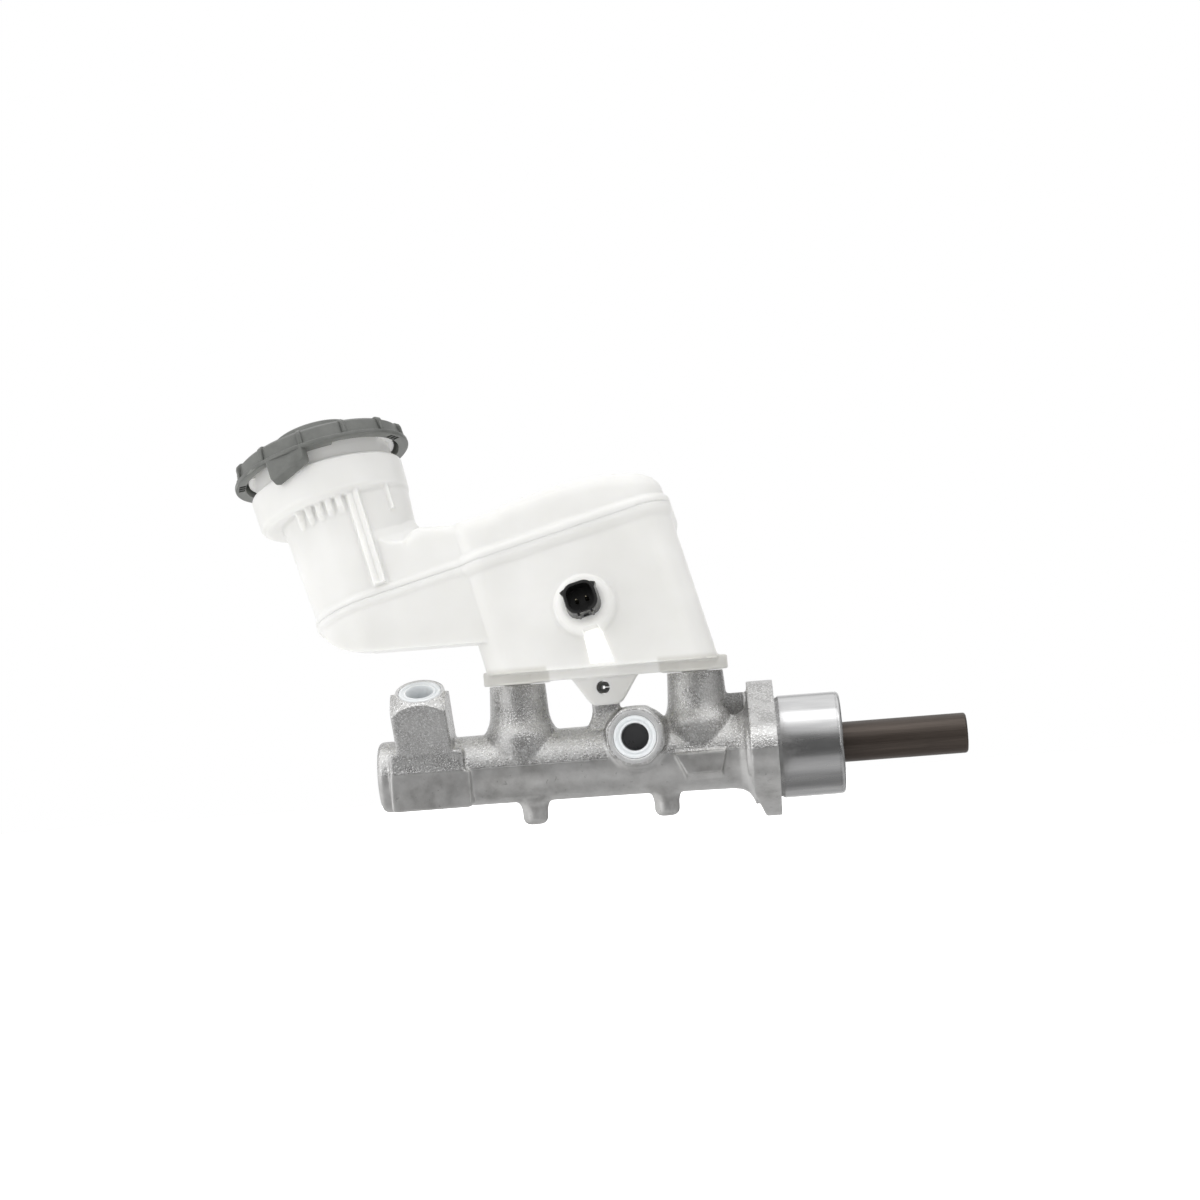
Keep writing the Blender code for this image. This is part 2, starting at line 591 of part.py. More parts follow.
def lower_shell():
    shell = prism("reservoir_lower_shell", main_outline(), DEEP_Z, -SEAM_GAP, mat=WHITE)
    cut(shell, [below(36.6)])
    lobe = prism("lobe", lobe_outline(), DEEP_Z, -SEAM_GAP)
    cut(lobe, [below(LOBE_FLOOR_Z), across("corner", CORNER, -90, 90)])
    brim = prism("brim", main_outline(MAIN_BRIM), -BRIM_H, -SEAM_GAP)
    join(brim, [prism("lobe_brim", lobe_outline(LOBE_BRIM), -BRIM_H, -SEAM_GAP)])
    join(shell, [lobe, brim] + base_parts())
    cut(shell, [lower_hollow(), channel(0.0, 61)])
    # blind dry tube for the level sensor, with a boss on the -Y wall
    join(shell, [lathe("tube", [(-34.0, 0), (-34.0, 10.4), (-33.1, 11.3), (-24.6, 11.3),
                                (-24.6, 8.0), (6.0, 8.0), (6.0, 0)],
                       SENSOR_LOCAL, segments=24)])
    tools = [cylinder("dry", -36, 3.8, 6.2, SENSOR_LOCAL)]
    tools += [cylinder("way", 22, 41, 3.6, FROM_WORLD @ upright(x)) for x in TURRET_X]
    pin_axis = FROM_WORLD @ frame((PIN_X, 0, PIN_Z), (0, 1, 0), (1, 0, 0))
    tools.append(cylinder("pin_way", -12, 12, PIN_HOLE_R, pin_axis, segments=12))
    place(cut(shell, tools))


def arc_lug(centre, half_angle, inner_r, outer_r, bottom, top):
    """Arc-shaped block about the cap axis, angles in degrees."""
    start, end = centre - half_angle, centre + half_angle
    outline = arc(CAP_X, 0, outer_r, 7, start, end) + arc(CAP_X, 0, inner_r, 7, end, start)
    return prism("lug", outline, bottom, top)


def upper_hollow():
    hollow = loft("hollow", [(main_outline(-WALL), -1), (main_outline(-WALL), 12.0),
                             (main_outline(-WALL - 1.8), 14.8), (main_outline(-8.0), 16.3)])
    lobe = loft("lobe_hollow", [(lobe_outline(-WALL), -1.5), (lobe_outline(-WALL), 12.6),
                                (lobe_outline(-4.6), 14.9)])
    neck = lathe("neck_hollow", [(-2, 0), (-2, 21.4), (45.5, 22.0), (45.5, 0)],
                 NECK_AXIS, segments=28)
    mouth = lathe("mouth_hollow", [(44.9, 0), (44.9, 24.6), (65.4, 24.6), (65.4, 26.0),
                                   (70, 26.0), (70, 0)], CAP_AXIS, segments=28)
    return join(hollow, [lobe, neck, mouth])


def upper_shell():
    shell = loft("reservoir_upper_shell", [
        (main_outline(MAIN_BRIM), SEAM_GAP), (main_outline(MAIN_BRIM), BRIM_H),
        (main_outline(0.0), 2.3), (main_outline(0.0), 12.5), (main_outline(-2.2), 16.6),
        (main_outline(-7.0), 18.6)], mat=WHITE)
    lobe = loft("lobe", [
        (lobe_outline(LOBE_BRIM), SEAM_GAP), (lobe_outline(LOBE_BRIM), 2.0),
        (lobe_outline(0.0), 2.1), (lobe_outline(0.0), 13.5), (lobe_outline(-2.0), 16.2),
        (lobe_outline(-4.5), 17.2)])
    neck = lathe("neck", [(0.8, 0), (0.8, 23.6), (43.6, 26.0), (43.6, 0)],
                 NECK_AXIS, segments=28)
    collar = lathe("collar", [
        (42.8, 0), (42.8, 28.6), (44.0, 30.6), (57.0, 31.2), (57.8, 30.6), (57.8, 28.0),
        (67.8, 28.0), (67.8, 0)], CAP_AXIS, segments=28)
    parts = [lobe, neck, collar]
    parts += [arc_lug(centre, 24, 27.4, 30.2, 64.6, 66.4) for centre in (0, 180)]
    # five teeth and a long rib on the -Y side of the neck
    tooth_r, tooth_pitch, tooth_top = 27.6, 4.3, 43.4
    for i in range(5):
        x = NECK_X - 15.6 + tooth_pitch * i
        y = -math.sqrt(tooth_r ** 2 - (x - NECK_X) ** 2)
        parts.append(box("tooth", (x - 1.2, y, 36.6), (x + 1.2, y + 8.0, tooth_top)))
    parts.append(box("rib", (NECK_X + 5.1, -27.2, 3.0), (NECK_X + 9.5, -18.0, tooth_top)))
    join(shell, parts)
    place(cut(shell, [upper_hollow()]))


def filler_strainer():
    """Cup in the mouth with five slots through its floor."""
    strainer = lathe("filler_strainer", [
        (45.4, 0), (45.4, 20.9), (46.2, 21.9), (58.0, 23.4), (58.0, 24.2), (59.2, 24.2),
        (59.2, 22.4), (47.6, 20.6), (46.8, 19.8), (46.8, 0)], CAP_AXIS, NYLON)
    slots = []
    for i in range(-2, 3):
        half_length = 14.0 - 2.2 * abs(i)
        x = CAP_X + 6.0 * i
        slots.append(box("slot", (x - 1.1, -half_length, 44), (x + 1.1, half_length, 49.4)))
    place(cut(strainer, slots))


def cap_diaphragm():
    """Rubber diaphragm hanging from a flange clamped on the mouth."""
    lathe("cap_diaphragm", [
        (68.1, 27.2), (69.0, 27.2), (69.0, 17.2), (64.5, 16.4), (64.5, 12.0), (68.2, 11.2),
        (68.2, 0), (67.2, 0), (67.2, 10.2), (63.2, 11.2), (63.2, 17.4), (67.4, 18.4),
        (68.1, 19.2)], RESERVOIR @ CAP_AXIS, RUBBER, closed=True)


def cap():
    # (height above the lip, radius)
    section = [(0, 31.9), (0, 35.6), (0.5, 36.1), (1.6, 35.9), (1.9, 34.4), (6.6, 33.9),
               (8.0, 32.2), (8.2, 18.2), (14.6, 16.2), (15.4, 15.0), (15.4, 0), (13.4, 0),
               (13.4, 14.0), (6.4, 15.4), (6.4, 31.2), (4.0, 31.9)]
    body = lathe("reservoir_cap", [(LIP_H + height, radius) for height, radius in section],
                 CAP_AXIS, GREY, segments=36, closed=True)
    parts = []
    for i in range(12):
        turned = CAP_AXIS @ Matrix.Rotation(math.radians(-2 + 30 * i), 4, "Z")
        parts.append(box("grip", (32.6, -0.9, LIP_H + 1.0), (35.1, 0.9, LIP_H + 7.3), turned))
    parts += [arc_lug(centre, 19, 28.7, 32.5, LIP_H, LIP_H + 1.2) for centre in (90, 270)]
    # release tab under the lip, on the -Y side and a little towards the nose
    turned = CAP_AXIS @ Matrix.Rotation(math.radians(-90 - 15), 4, "Z")
    # (sideways, height above the lip) of its inner and outer faces
    inner = [(-8.0, 0.8), (-7.6, -8.6), (-5.6, -9.6), (8.2, -5.4), (8.5, 0.8)]
    outer = [(-8.0, 0.8), (-8.0, -7.2), (-6.2, -8.0), (7.4, -4.2), (8.0, 0.8)]
    sections = [([(y, LIP_H + height) for y, height in face], radius)
                for face, radius in ((inner, 31.9), (outer, 35.2))]
    parts.append(loft("tab", sections, turned @ YZ_ALONG_X))
    place(join(body, parts))


def level_float():
    """Float above the channel roof, with its magnet towards the sensor tube."""
    bottom = -35.8
    body = prism("level_float", rounded_rect(-12.7, 13.3, 7.4, 20.4, 3, 3), bottom,
                 bottom + 10, mat=FLOAT)
    place(cut(body, [cylinder("pocket", 7.0, 11.4, 2.7, SENSOR_LOCAL, segments=16)]))
    cylinder("float_magnet", 7.7, 11.1, 2.4, SENSOR, MAGNET, segments=16)


lower_shell()
upper_shell()
filler_strainer()
cap_diaphragm()
cap()
level_float()

# ---- level sensor ------------------------------------------------------------
TERMINAL_X = 2.0          # half of the terminal spacing


def sensor_connector():
    # moulded socket with a slight draft
    body = loft("sensor_connector", [(rounded_rect(-6.2, 6.2, -6.0, 6.0, 4.2), -42.5),
                                     (rounded_rect(-6.8, 6.8, -6.6, 6.6, 4.6), -34.4)],
                SENSOR, BLACK)
    parts = [lathe("stem", [(-35.5, 0), (-35.5, 5.8), (-25.4, 5.8), (-25.4, 4.7),
                            (-22.8, 4.7), (-22.8, 5.8), (-8.6, 5.8), (-8.0, 5.2), (-8.0, 0)],
                   SENSOR)]
    # (name, distance from the middle, half width, y from, y to, mouth end)
    for name, offset, half, y_min, y_max, outer_end in (
            ("ear", 6.2, 0.9, -4.6, -2.6, -42.0), ("key", 2.6, 0.4, 5.4, 7.0, -41.8)):
        for x in (-offset, offset):
            parts.append(box(name, (x - half, y_min, outer_end), (x + half, y_max, -35.2),
                             SENSOR))
    join(body, parts)
    tools = [prism("mouth", rounded_rect(-5.0, 5.0, -4.8, 4.8, 3.2), -43, -34.8, SENSOR),
             box("latch", (-1.6, 4.0, -43), (1.6, 7.2, -38.0), SENSOR),
             cylinder("reed_bore", -20.5, -7, 1.9, SENSOR, segments=12)]
    for x in (-TERMINAL_X, TERMINAL_X):
        tools.append(box("pin_hole", (x - 0.7, -0.75, -35.4), (x + 0.7, 0.75, -26), SENSOR))
    cut(body, tools)


def terminal_pin(name, x):
    """Square pin with a tapered tip."""
    def section(half_x, half_y):
        return [(x - half_x, -half_y), (x + half_x, -half_y), (x + half_x, half_y),
                (x - half_x, half_y)]
    shank = section(0.45, 0.45)
    loft(name, [(section(0.25, 0.2), -39.6), (shank, -38.6), (shank, -26.3)],
         SENSOR, BRASS, smooth=False)


sensor_connector()
terminal_pin("terminal_pin_left", -TERMINAL_X)
terminal_pin("terminal_pin_right", TERMINAL_X)
lathe("reed_switch", [(-20.0, 0), (-19.2, 1.0), (-18.4, 1.5), (1.0, 1.5), (1.8, 1.0), (2.6, 0)],
      SENSOR, GLASS, segments=12)
ring("sensor_o_ring", -25.1, -23.1, 5.0, 6.0, RUBBER, matrix=SENSOR)


# ---- roll pin and transit plugs ----------------------------------------------
def roll_pin():
    """Spring-steel pin across the lug, split along its length."""
    pin = lathe("reservoir_roll_pin", [(-7.6, 1.45), (-7.6, 2.05), (-7.2, 2.3), (7.2, 2.3),
                                       (7.6, 2.05), (7.6, 1.45)],
                frame((PIN_X, 0, PIN_Z), (0, 1, 0), (1, 0, 0)), STEEL, segments=16, closed=True)
    cut(pin, [box("split", (PIN_X + 0.5, -9, PIN_Z - 0.45), (PIN_X + 4, 9, PIN_Z + 0.45))])


def transit_plug(name, matrix, face):
    # (depth below the outlet face, radius)
    section = [(10.0, 0), (10.0, 5.4), (9.4, 5.8), (1.3, 5.8), (1.3, 8.2), (0.4, 8.3),
               (0.1, 7.9), (0.1, 5.9), (0.7, 5.35), (9.0, 5.0), (9.0, 0)]
    lathe(name, [(face - depth, radius) for depth, radius in section], matrix, PLUG)


roll_pin()
transit_plug("transit_plug_front", FRONT, FRONT_PORT_H)
transit_plug("transit_plug_top", TOP, TOP_PORT_H)
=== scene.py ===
# A tandem brake master cylinder with its plastic reservoir, filler cap and level switch.
# The bore runs along +X from the closed nose at X = 0 to the plunger's tail. Up is +Z and the
# front is -Y. The reservoir has its own "seam" frame: the origin lies on the weld between its
# two shells, which climbs to the right; x runs along it, y to the back and z up.
import math

import bmesh
import bpy
import numpy as np
from mathutils import Matrix, Vector


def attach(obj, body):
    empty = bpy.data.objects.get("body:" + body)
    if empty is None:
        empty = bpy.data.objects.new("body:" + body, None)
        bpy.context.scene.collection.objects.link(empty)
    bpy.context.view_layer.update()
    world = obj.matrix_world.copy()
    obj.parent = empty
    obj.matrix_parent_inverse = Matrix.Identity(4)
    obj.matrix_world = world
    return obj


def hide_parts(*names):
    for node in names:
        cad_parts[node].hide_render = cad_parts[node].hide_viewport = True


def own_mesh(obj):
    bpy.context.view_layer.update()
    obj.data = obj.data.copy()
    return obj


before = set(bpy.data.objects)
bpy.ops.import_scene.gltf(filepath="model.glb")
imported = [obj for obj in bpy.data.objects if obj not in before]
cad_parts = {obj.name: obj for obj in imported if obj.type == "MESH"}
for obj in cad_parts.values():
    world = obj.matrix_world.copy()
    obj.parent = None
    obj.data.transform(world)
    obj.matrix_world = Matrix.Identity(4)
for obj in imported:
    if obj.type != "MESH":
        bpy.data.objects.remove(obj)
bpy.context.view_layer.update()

MM = 0.001                           # shapes are written in mm and stored in metres

# ------------------------------------------------------------------ driving sizes (mm)
BORE_R = 10.32
SLEEVE_R = 20.0
TAIL_R = 7.85
TAIL_END = 230.0
PISTON_R = 10.08
TURRET_X = (56.4, 126.3)
TURRET_TOP = 32.0
PORT_R = 6.1
FRONT_PORT = (101.9, 0, 8.7)
FRONT_FACE, TOP_FACE = 27.0, 36.9    # milled faces of the outlets, along their axes
STUD_Y = 35.0                        # stud holes in the flange, either side of the bore
FLANGE_FACE = 156.0
GUIDE_R = 13.6                       # counterbore of the sleeve
STOP_PIN_X = 59.7
ROLL_PIN = (90.3, 0, 28.6)
SEAM_ORIGIN = (78.7, 9.2, 85.0)
WALL = 2.2
TANK_X0, TANK_X1, TANK_HALF, TANK_CORNER = -43.4, 43.9, 26.0, 12.0   # tank plan at the seam
LOBE_X, LOBE_R = -79.0, 24.0         # arm reaching left, under the filler neck
LOBE_FLOOR = 49.5                    # world height
NECK_X = -79.0
CAP_X = -83.0
LIP = 63.0                           # underside of the cap's lip
RAIL_TOP = 37.9                      # world height of the rail under the tank
VOXEL = 0.55


# ------------------------------------------------------------------ frames
def frame_at(origin, z_axis, x_hint=(0, 0, 1)):
    z = Vector(z_axis).normalized()
    x = Vector(x_hint)
    if abs(x.normalized().dot(z)) > 0.99:
        x = Vector((1, 0, 0))
    x = (x - z * x.dot(z)).normalized()
    matrix = Matrix((x, z.cross(x), z)).transposed().to_4x4()
    matrix.translation = Vector(origin)
    return matrix


def at_x(x):
    return Matrix.Translation((x, 0, 0))


def along_x(y, z=0):
    """Frame whose z runs along world X."""
    return frame_at((0, y, z), (1, 0, 0))


def hanging(x):
    """Frame on the bore's axis whose z points down."""
    return frame_at((x, 0, 0), (0, 0, -1))


SEAM_PITCH, SEAM_LEAN = math.radians(14.0), math.radians(10.5)
UP = Vector((-math.tan(SEAM_PITCH), math.tan(SEAM_LEAN), 1.0)).normalized()
ALONG = Vector((math.cos(SEAM_PITCH), 0.0, math.sin(SEAM_PITCH)))
BACK = UP.cross(ALONG)
SEAM = Matrix((ALONG, BACK, UP)).transposed().to_4x4()
SEAM.translation = Vector(SEAM_ORIGIN)
FROM_WORLD = SEAM.inverted()
WORLD = Matrix.Identity(4)
BORE = along_x(0)
TOP_LEAN = math.radians(28.0)        # the top outlet leans to the front
TOP = frame_at((19.6, 0, 0), (0, -math.sin(TOP_LEAN), math.cos(TOP_LEAN)), (1, 0, 0))
FRONT = frame_at(FRONT_PORT, (0, -1, 0), (1, 0, 0))
# level switch: z to the back, y down; SWITCH_IN_SEAM is in the seam frame, the others in world
SWITCH_IN_SEAM = frame_at((1.6, 0, -30.5), (0, 1, 0), (1, 0, 0))
SWITCH = SEAM @ SWITCH_IN_SEAM
SWITCH_UP = SWITCH @ Matrix.Diagonal((1, -1, 1, 1))              # the same with y up
YZ = Matrix(((0, 0, 1), (1, 0, 0), (0, 1, 0))).to_4x4()          # outline (Y, Z), height along X
XZ = Matrix(((1, 0, 0), (0, 0, 1), (0, 1, 0))).to_4x4()          # outline (X, Z), height along Y
XZ_FRONT = Matrix(((1, 0, 0), (0, 0, -1), (0, 1, 0))).to_4x4()   # the same, height along -Y


# ------------------------------------------------------------------ outlines
def arc(cx, cy, radius, count, start, end):
    angles = [math.radians(start + (end - start) * i / (count - 1)) for i in range(count)]
    return [(cx + radius * math.cos(a), cy + radius * math.sin(a)) for a in angles]


def circle(cx, cy, radius, count):
    angles = [2 * math.pi * i / count for i in range(count)]
    return [(cx + radius * math.cos(a), cy + radius * math.sin(a)) for a in angles]


def round_rect(x0, x1, y0, y1, r, steps=10):
    corners = ((x1 - r, y0 + r, -90), (x1 - r, y1 - r, 0), (x0 + r, y1 - r, 90),
               (x0 + r, y0 + r, 180))
    return [p for cx, cy, a in corners for p in arc(cx, cy, r, steps + 1, a, a + 90)]


def centred_rect(half_x, half_y, r, steps=10):
    return round_rect(-half_x, half_x, -half_y, half_y, r, steps)


def hull(points):
    ordered = sorted(set((round(x, 6), round(y, 6)) for x, y in points))

    def half(sequence):
        out = []
        for p in sequence:
            while len(out) > 1 and ((out[-1][0] - out[-2][0]) * (p[1] - out[-2][1])
                                    - (out[-1][1] - out[-2][1]) * (p[0] - out[-2][0])) <= 1e-9:
                out.pop()
            out.append(p)
        return out[:-1]
    return half(ordered) + half(ordered[::-1])


def fillet(profile, radii, steps=6):
    """Rounds the corners of an open profile; radii is one number or one per point."""
    if not isinstance(radii, (list, tuple)):
        radii = [radii] * len(profile)
    out = [profile[0]]
    for i in range(1, len(profile) - 1):
        point = Vector(profile[i])
        to_last = Vector(profile[i - 1]) - point
        to_next = Vector(profile[i + 1]) - point
        last_length, next_length = to_last.length, to_next.length
        if radii[i] <= 0 or last_length < 1e-6 or next_length < 1e-6:
            out.append(tuple(point))
            continue
        to_last = to_last / last_length
        to_next = to_next / next_length
        angle = math.acos(max(-1.0, min(1.0, to_last.dot(to_next))))
        if angle > 3.05 or angle < 0.05:
            out.append(tuple(point))
            continue
        # a fillet may use up to 45 % of the shorter side
        setback = min(radii[i] / math.tan(angle / 2), 0.45 * last_length, 0.45 * next_length)
        radius = setback * math.tan(angle / 2)
        centre = point + (to_last + to_next).normalized() * (radius / math.sin(angle / 2))
        first = point + to_last * setback - centre
        final = point + to_next * setback - centre
        start = math.atan2(first.y, first.x)
        turn = (math.atan2(final.y, final.x) - start + math.pi) % (2 * math.pi) - math.pi
        for k in range(steps + 1):
            a = start + turn * k / steps
            out.append((centre.x + radius * math.cos(a), centre.y + radius * math.sin(a)))
    out.append(profile[-1])
    return out


# ------------------------------------------------------------------ meshes
# Shapes used up by a boolean or a join keep the default name.
def scaled(matrix):
    out = matrix.copy()
    out.translation = matrix.translation * MM
    return out


def shade(ob, angle=35):
    ob.data.shade_smooth()
    ob.data.set_sharp_from_angle(angle=math.radians(angle))


def add_object(bm, name):
    mesh = bpy.data.meshes.new(name)
    bm.to_mesh(mesh)
    bm.free()
    ob = bpy.data.objects.new(name, mesh)
    bpy.context.scene.collection.objects.link(ob)
    return ob


def make(bm, name, smooth=True, angle=35):
    """Cleans a bmesh, turns its faces outwards and makes an object of it."""
    bmesh.ops.remove_doubles(bm, verts=bm.verts, dist=1e-7)
    bmesh.ops.delete(bm, geom=[e for e in bm.edges if not e.link_faces], context="EDGES")
    bmesh.ops.delete(bm, geom=[v for v in bm.verts if not v.link_faces], context="VERTS")
    bmesh.ops.recalc_face_normals(bm, faces=bm.faces)
    if bm.calc_volume(signed=True) < 0:
        bmesh.ops.reverse_faces(bm, faces=bm.faces)
    ob = add_object(bm, name)
    if smooth:
        shade(ob, angle)
    return ob


def lathe(profile, at=WORLD, steps=96, closed=False, name="shape"):
    """Turns a profile of (distance along z, radius) about the z of a frame."""
    bm = bmesh.new()
    verts = [bm.verts.new((r * MM, 0, z * MM)) for z, r in profile]
    edges = [bm.edges.new(pair) for pair in zip(verts, verts[1:])]
    if closed:
        edges.append(bm.edges.new((verts[-1], verts[0])))
    bmesh.ops.spin(bm, geom=verts + edges, cent=(0, 0, 0), axis=(0, 0, 1), dvec=(0, 0, 0),
                   angle=2 * math.pi, steps=steps, use_merge=True, use_duplicate=False)
    bmesh.ops.remove_doubles(bm, verts=bm.verts, dist=2e-6)
    bmesh.ops.transform(bm, matrix=scaled(at), verts=bm.verts)
    return make(bm, name)


def skin(bm, rings):
    """Closes a run of equal rings of vertices, with a cap at each end."""
    bm.faces.new(rings[0])
    bm.faces.new(rings[-1])
    count = len(rings[0])
    for a, b in zip(rings, rings[1:]):
        for i in range(count):
            j = (i + 1) % count
            bm.faces.new((a[i], a[j], b[j], b[i]))


def loft(sections, at=WORLD, smooth=True, name="shape"):
    """Joins sections of (outline, height) into a solid."""
    bm = bmesh.new()
    skin(bm, [[bm.verts.new((x * MM, y * MM, z * MM)) for x, y in outline]
              for outline, z in sections])
    bmesh.ops.transform(bm, matrix=scaled(at), verts=bm.verts)
    return make(bm, name, smooth)


def prism(outline, z0, z1, at=WORLD, smooth=True):
    return loft([(outline, z0), (outline, z1)], at, smooth)


def box(low, high, at=WORLD):
    outline = [(low[0], low[1]), (high[0], low[1]), (high[0], high[1]), (low[0], high[1])]
    return prism(outline, low[2], high[2], at, smooth=False)


def disc(z0, z1, radius, at, steps):
    return lathe([(z0, 0), (z0, radius), (z1, radius), (z1, 0)], at, steps)


def rod(start, end, radius, steps=48):
    span = Vector(end) - Vector(start)
    return disc(0, span.length, radius, frame_at(start, span), steps)


def evaluated_mesh(ob):
    bpy.context.view_layer.update()
    graph = bpy.context.evaluated_depsgraph_get()
    return bpy.data.meshes.new_from_object(ob.evaluated_get(graph))


def bake(ob):
    mesh = evaluated_mesh(ob)
    ob.modifiers.clear()
    ob.data = mesh
    return ob


def boolean(ob, tools, operation, exact):
    for tool in tools:
        mod = ob.modifiers.new("b", "BOOLEAN")
        mod.operation = operation
        mod.solver = "EXACT" if exact else "MANIFOLD"
        mod.object = tool
        mesh = evaluated_mesh(ob)
        # the manifold solver gives nothing when a shape isn't watertight
        if not exact and len(mesh.polygons) == 0:
            mod.solver = "EXACT"
            mesh = evaluated_mesh(ob)
        ob.modifiers.clear()
        ob.data = mesh
        bpy.data.objects.remove(tool, do_unlink=True)
    return ob


def cut(ob, tools, exact=False):
    return boolean(ob, tools, "DIFFERENCE", exact)


def fuse(ob, tools, exact=False):
    return boolean(ob, tools, "UNION", exact)


def melt(name, shapes, smoothing):
    """One closed skin over overlapping solids, with its edges and inner corners rounded."""
    bm = bmesh.new()
    for shape in shapes:
        bm.from_mesh(shape.data)
        bpy.data.objects.remove(shape, do_unlink=True)
    ob = add_object(bm, name)
    mod = ob.modifiers.new("r", "REMESH")
    mod.mode = "VOXEL"
    mod.voxel_size = VOXEL * MM * 1.0
    mod = ob.modifiers.new("s", "SMOOTH")
    mod.factor = 0.5
    mod.iterations = max(1, int(smoothing / (1.0)))
    return bake(ob)


# ------------------------------------------------------------------ shader nodes
MATERIALS = {}


def rgb(colour):
    """A lone number stands for a grey."""
    return colour if isinstance(colour, tuple) else (colour, colour, colour)


class Shader:
    """A node tree, its end node and short calls for the nodes used here."""

    def __init__(self, tree, end):
        self.tree = tree
        self.end = tree.nodes[end]

    def node(self, kind, **settings):
        node = self.tree.nodes.new(kind)
        for key, value in settings.items():
            setattr(node, key, value)
        return node

    def feed(self, socket, value):
        """Links a socket, or sets a plain value."""
        if isinstance(value, bpy.types.NodeSocket):
            self.tree.links.new(value, socket)
        elif socket.type == "RGBA":
            socket.default_value = (*rgb(value), 1)
        else:
            socket.default_value = value

    def set(self, name, value):
        self.feed(self.end.inputs[name], value)

    def coords(self, stretch=(1, 1, 1)):
        source = self.node("ShaderNodeTexCoord")
        mapping = self.node("ShaderNodeMapping")
        self.feed(mapping.inputs["Scale"], stretch)
        self.feed(mapping.inputs["Vector"], source.outputs["Object"])
        return mapping.outputs["Vector"]

    def xyz(self, space="Object"):
        source = self.node("ShaderNodeTexCoord")
        split = self.node("ShaderNodeSeparateXYZ")
        self.feed(split.inputs[0], source.outputs[space])
        return split.outputs

    def noise(self, vector, scale, detail=3.0, rough=0.5, distortion=0.0):
        node = self.node("ShaderNodeTexNoise")
        for name, value in (("Scale", scale), ("Detail", detail), ("Roughness", rough),
                            ("Distortion", distortion), ("Vector", vector)):
            self.feed(node.inputs[name], value)
        return node.outputs["Fac"]

    def ramp(self, value, *stops):
        """Stops are (position, colour)."""
        node = self.node("ShaderNodeValToRGB")
        elements = node.color_ramp.elements
        while len(elements) < len(stops):
            elements.new(0.5)
        for element, (position, colour) in zip(elements, stops):
            element.position = position
            element.color = (*rgb(colour), 1)
        self.feed(node.inputs["Fac"], value)
        return node.outputs["Color"]

    def remap(self, value, span, to=(0.0, 1.0), smooth=True):
        node = self.node("ShaderNodeMapRange")
        if smooth:
            node.interpolation_type = "SMOOTHSTEP"
        for name, number in zip(("From Min", "From Max", "To Min", "To Max"), (*span, *to)):
            self.feed(node.inputs[name], number)
        self.feed(node.inputs["Value"], value)
        return node.outputs["Result"]

    def math(self, operation, *values):
        node = self.node("ShaderNodeMath", operation=operation)
        for i, value in enumerate(values):
            self.feed(node.inputs[i], value)
        return node.outputs[0]

    def product(self, first, *others):
        for other in others:
            first = self.math("MULTIPLY", first, other)
        return first

    def mix(self, base, colour, amount):
        node = self.node("ShaderNodeMix", data_type="RGBA")
        self.feed(node.inputs[0], amount)
        inputs = [i for i in node.inputs if i.type == "RGBA"]
        self.feed(inputs[0], base)
        self.feed(inputs[1], colour)
        return [o for o in node.outputs if o.type == "RGBA"][0]

    def pointiness(self):
        return self.node("ShaderNodeNewGeometry").outputs["Pointiness"]

    def bump(self, height, strength, distance):
        node = self.node("ShaderNodeBump")
        self.feed(node.inputs["Strength"], strength)
        self.feed(node.inputs["Distance"], distance)
        self.feed(node.inputs["Height"], height)
        self.set("Normal", node.outputs["Normal"])


def new_material(name):
    material = bpy.data.materials.new("m_" + name)
    material.use_nodes = True
    MATERIALS[name] = material
    return Shader(material.node_tree, "Principled BSDF")


# ------------------------------------------------------------------ materials
def cast_aluminium():
    """Blasted grain above the parting line, smoother die skin below it."""
    mat = new_material("cast_aluminium")
    vector = mat.coords()
    upper = mat.remap(mat.xyz()["Z"], span=(0.0004, 0.0014))
    grain = mat.noise(vector, scale=1350, detail=2.0, rough=0.7)
    fine = mat.noise(vector, scale=3200, detail=2.0, rough=0.6)
    blotch = mat.noise(vector, scale=130, detail=5.0, rough=0.62)
    cloud = mat.noise(vector, scale=38, detail=3.0, rough=0.5)
    base = mat.ramp(blotch, (0.30, (0.40, 0.395, 0.385)), (0.5, (0.53, 0.525, 0.515)),
                    (0.72, (0.64, 0.635, 0.625)))
    base = mat.mix(base, 0.68, amount=mat.remap(cloud, span=(0.35, 0.7), to=(0.0, 0.35)))
    # bright flecks above the parting line: real blasted grain, brightened further as painted
    # glints
    grain_glint = mat.ramp(grain, (0.50, 0.0), (0.66, 1.0))
    base = mat.mix(base, 0.93, amount=mat.product(grain_glint, upper, 0.75))
    dull = mat.ramp(fine, (0.34, 1.0), (0.50, 0.0))
    base = mat.mix(base, 0.25, amount=mat.product(dull, upper, 0.40))
    # handling marks, painted shade in the corners and painted highlights on the edges
    marks = mat.noise(vector, scale=420, detail=4.0, rough=0.7, distortion=0.4)
    pits = mat.ramp(marks, (0.30, 1.0), (0.37, 0.0))
    base = mat.mix(base, (0.16, 0.155, 0.15), amount=mat.product(pits, 0.45))
    crease_shade = mat.remap(mat.pointiness(), span=(0.43, 0.49), to=(1.0, 0.0))
    base = mat.mix(base, (0.20, 0.19, 0.18), amount=mat.product(crease_shade, 0.40))
    edge = mat.remap(mat.pointiness(), span=(0.52, 0.60), to=(0.0, 0.5))
    mat.set("Base Color", mat.mix(base, 0.84, amount=edge))
    mat.set("Metallic", mat.remap(upper, span=(0, 1), to=(0.80, 0.90), smooth=False))
    rough = mat.remap(blotch, span=(0.3, 0.7), to=(0.22, 0.33), smooth=False)
    below_line = mat.remap(upper, span=(0, 1), to=(0.14, 0.0), smooth=False)
    mat.set("Roughness", mat.math("ADD", rough, below_line))
    depth = mat.remap(upper, span=(0, 1), to=(0.20, 1.35), smooth=False)
    height = mat.math("ADD", mat.product(grain, depth), mat.product(blotch, 0.6))
    mat.bump(height, strength=0.85, distance=0.00030)


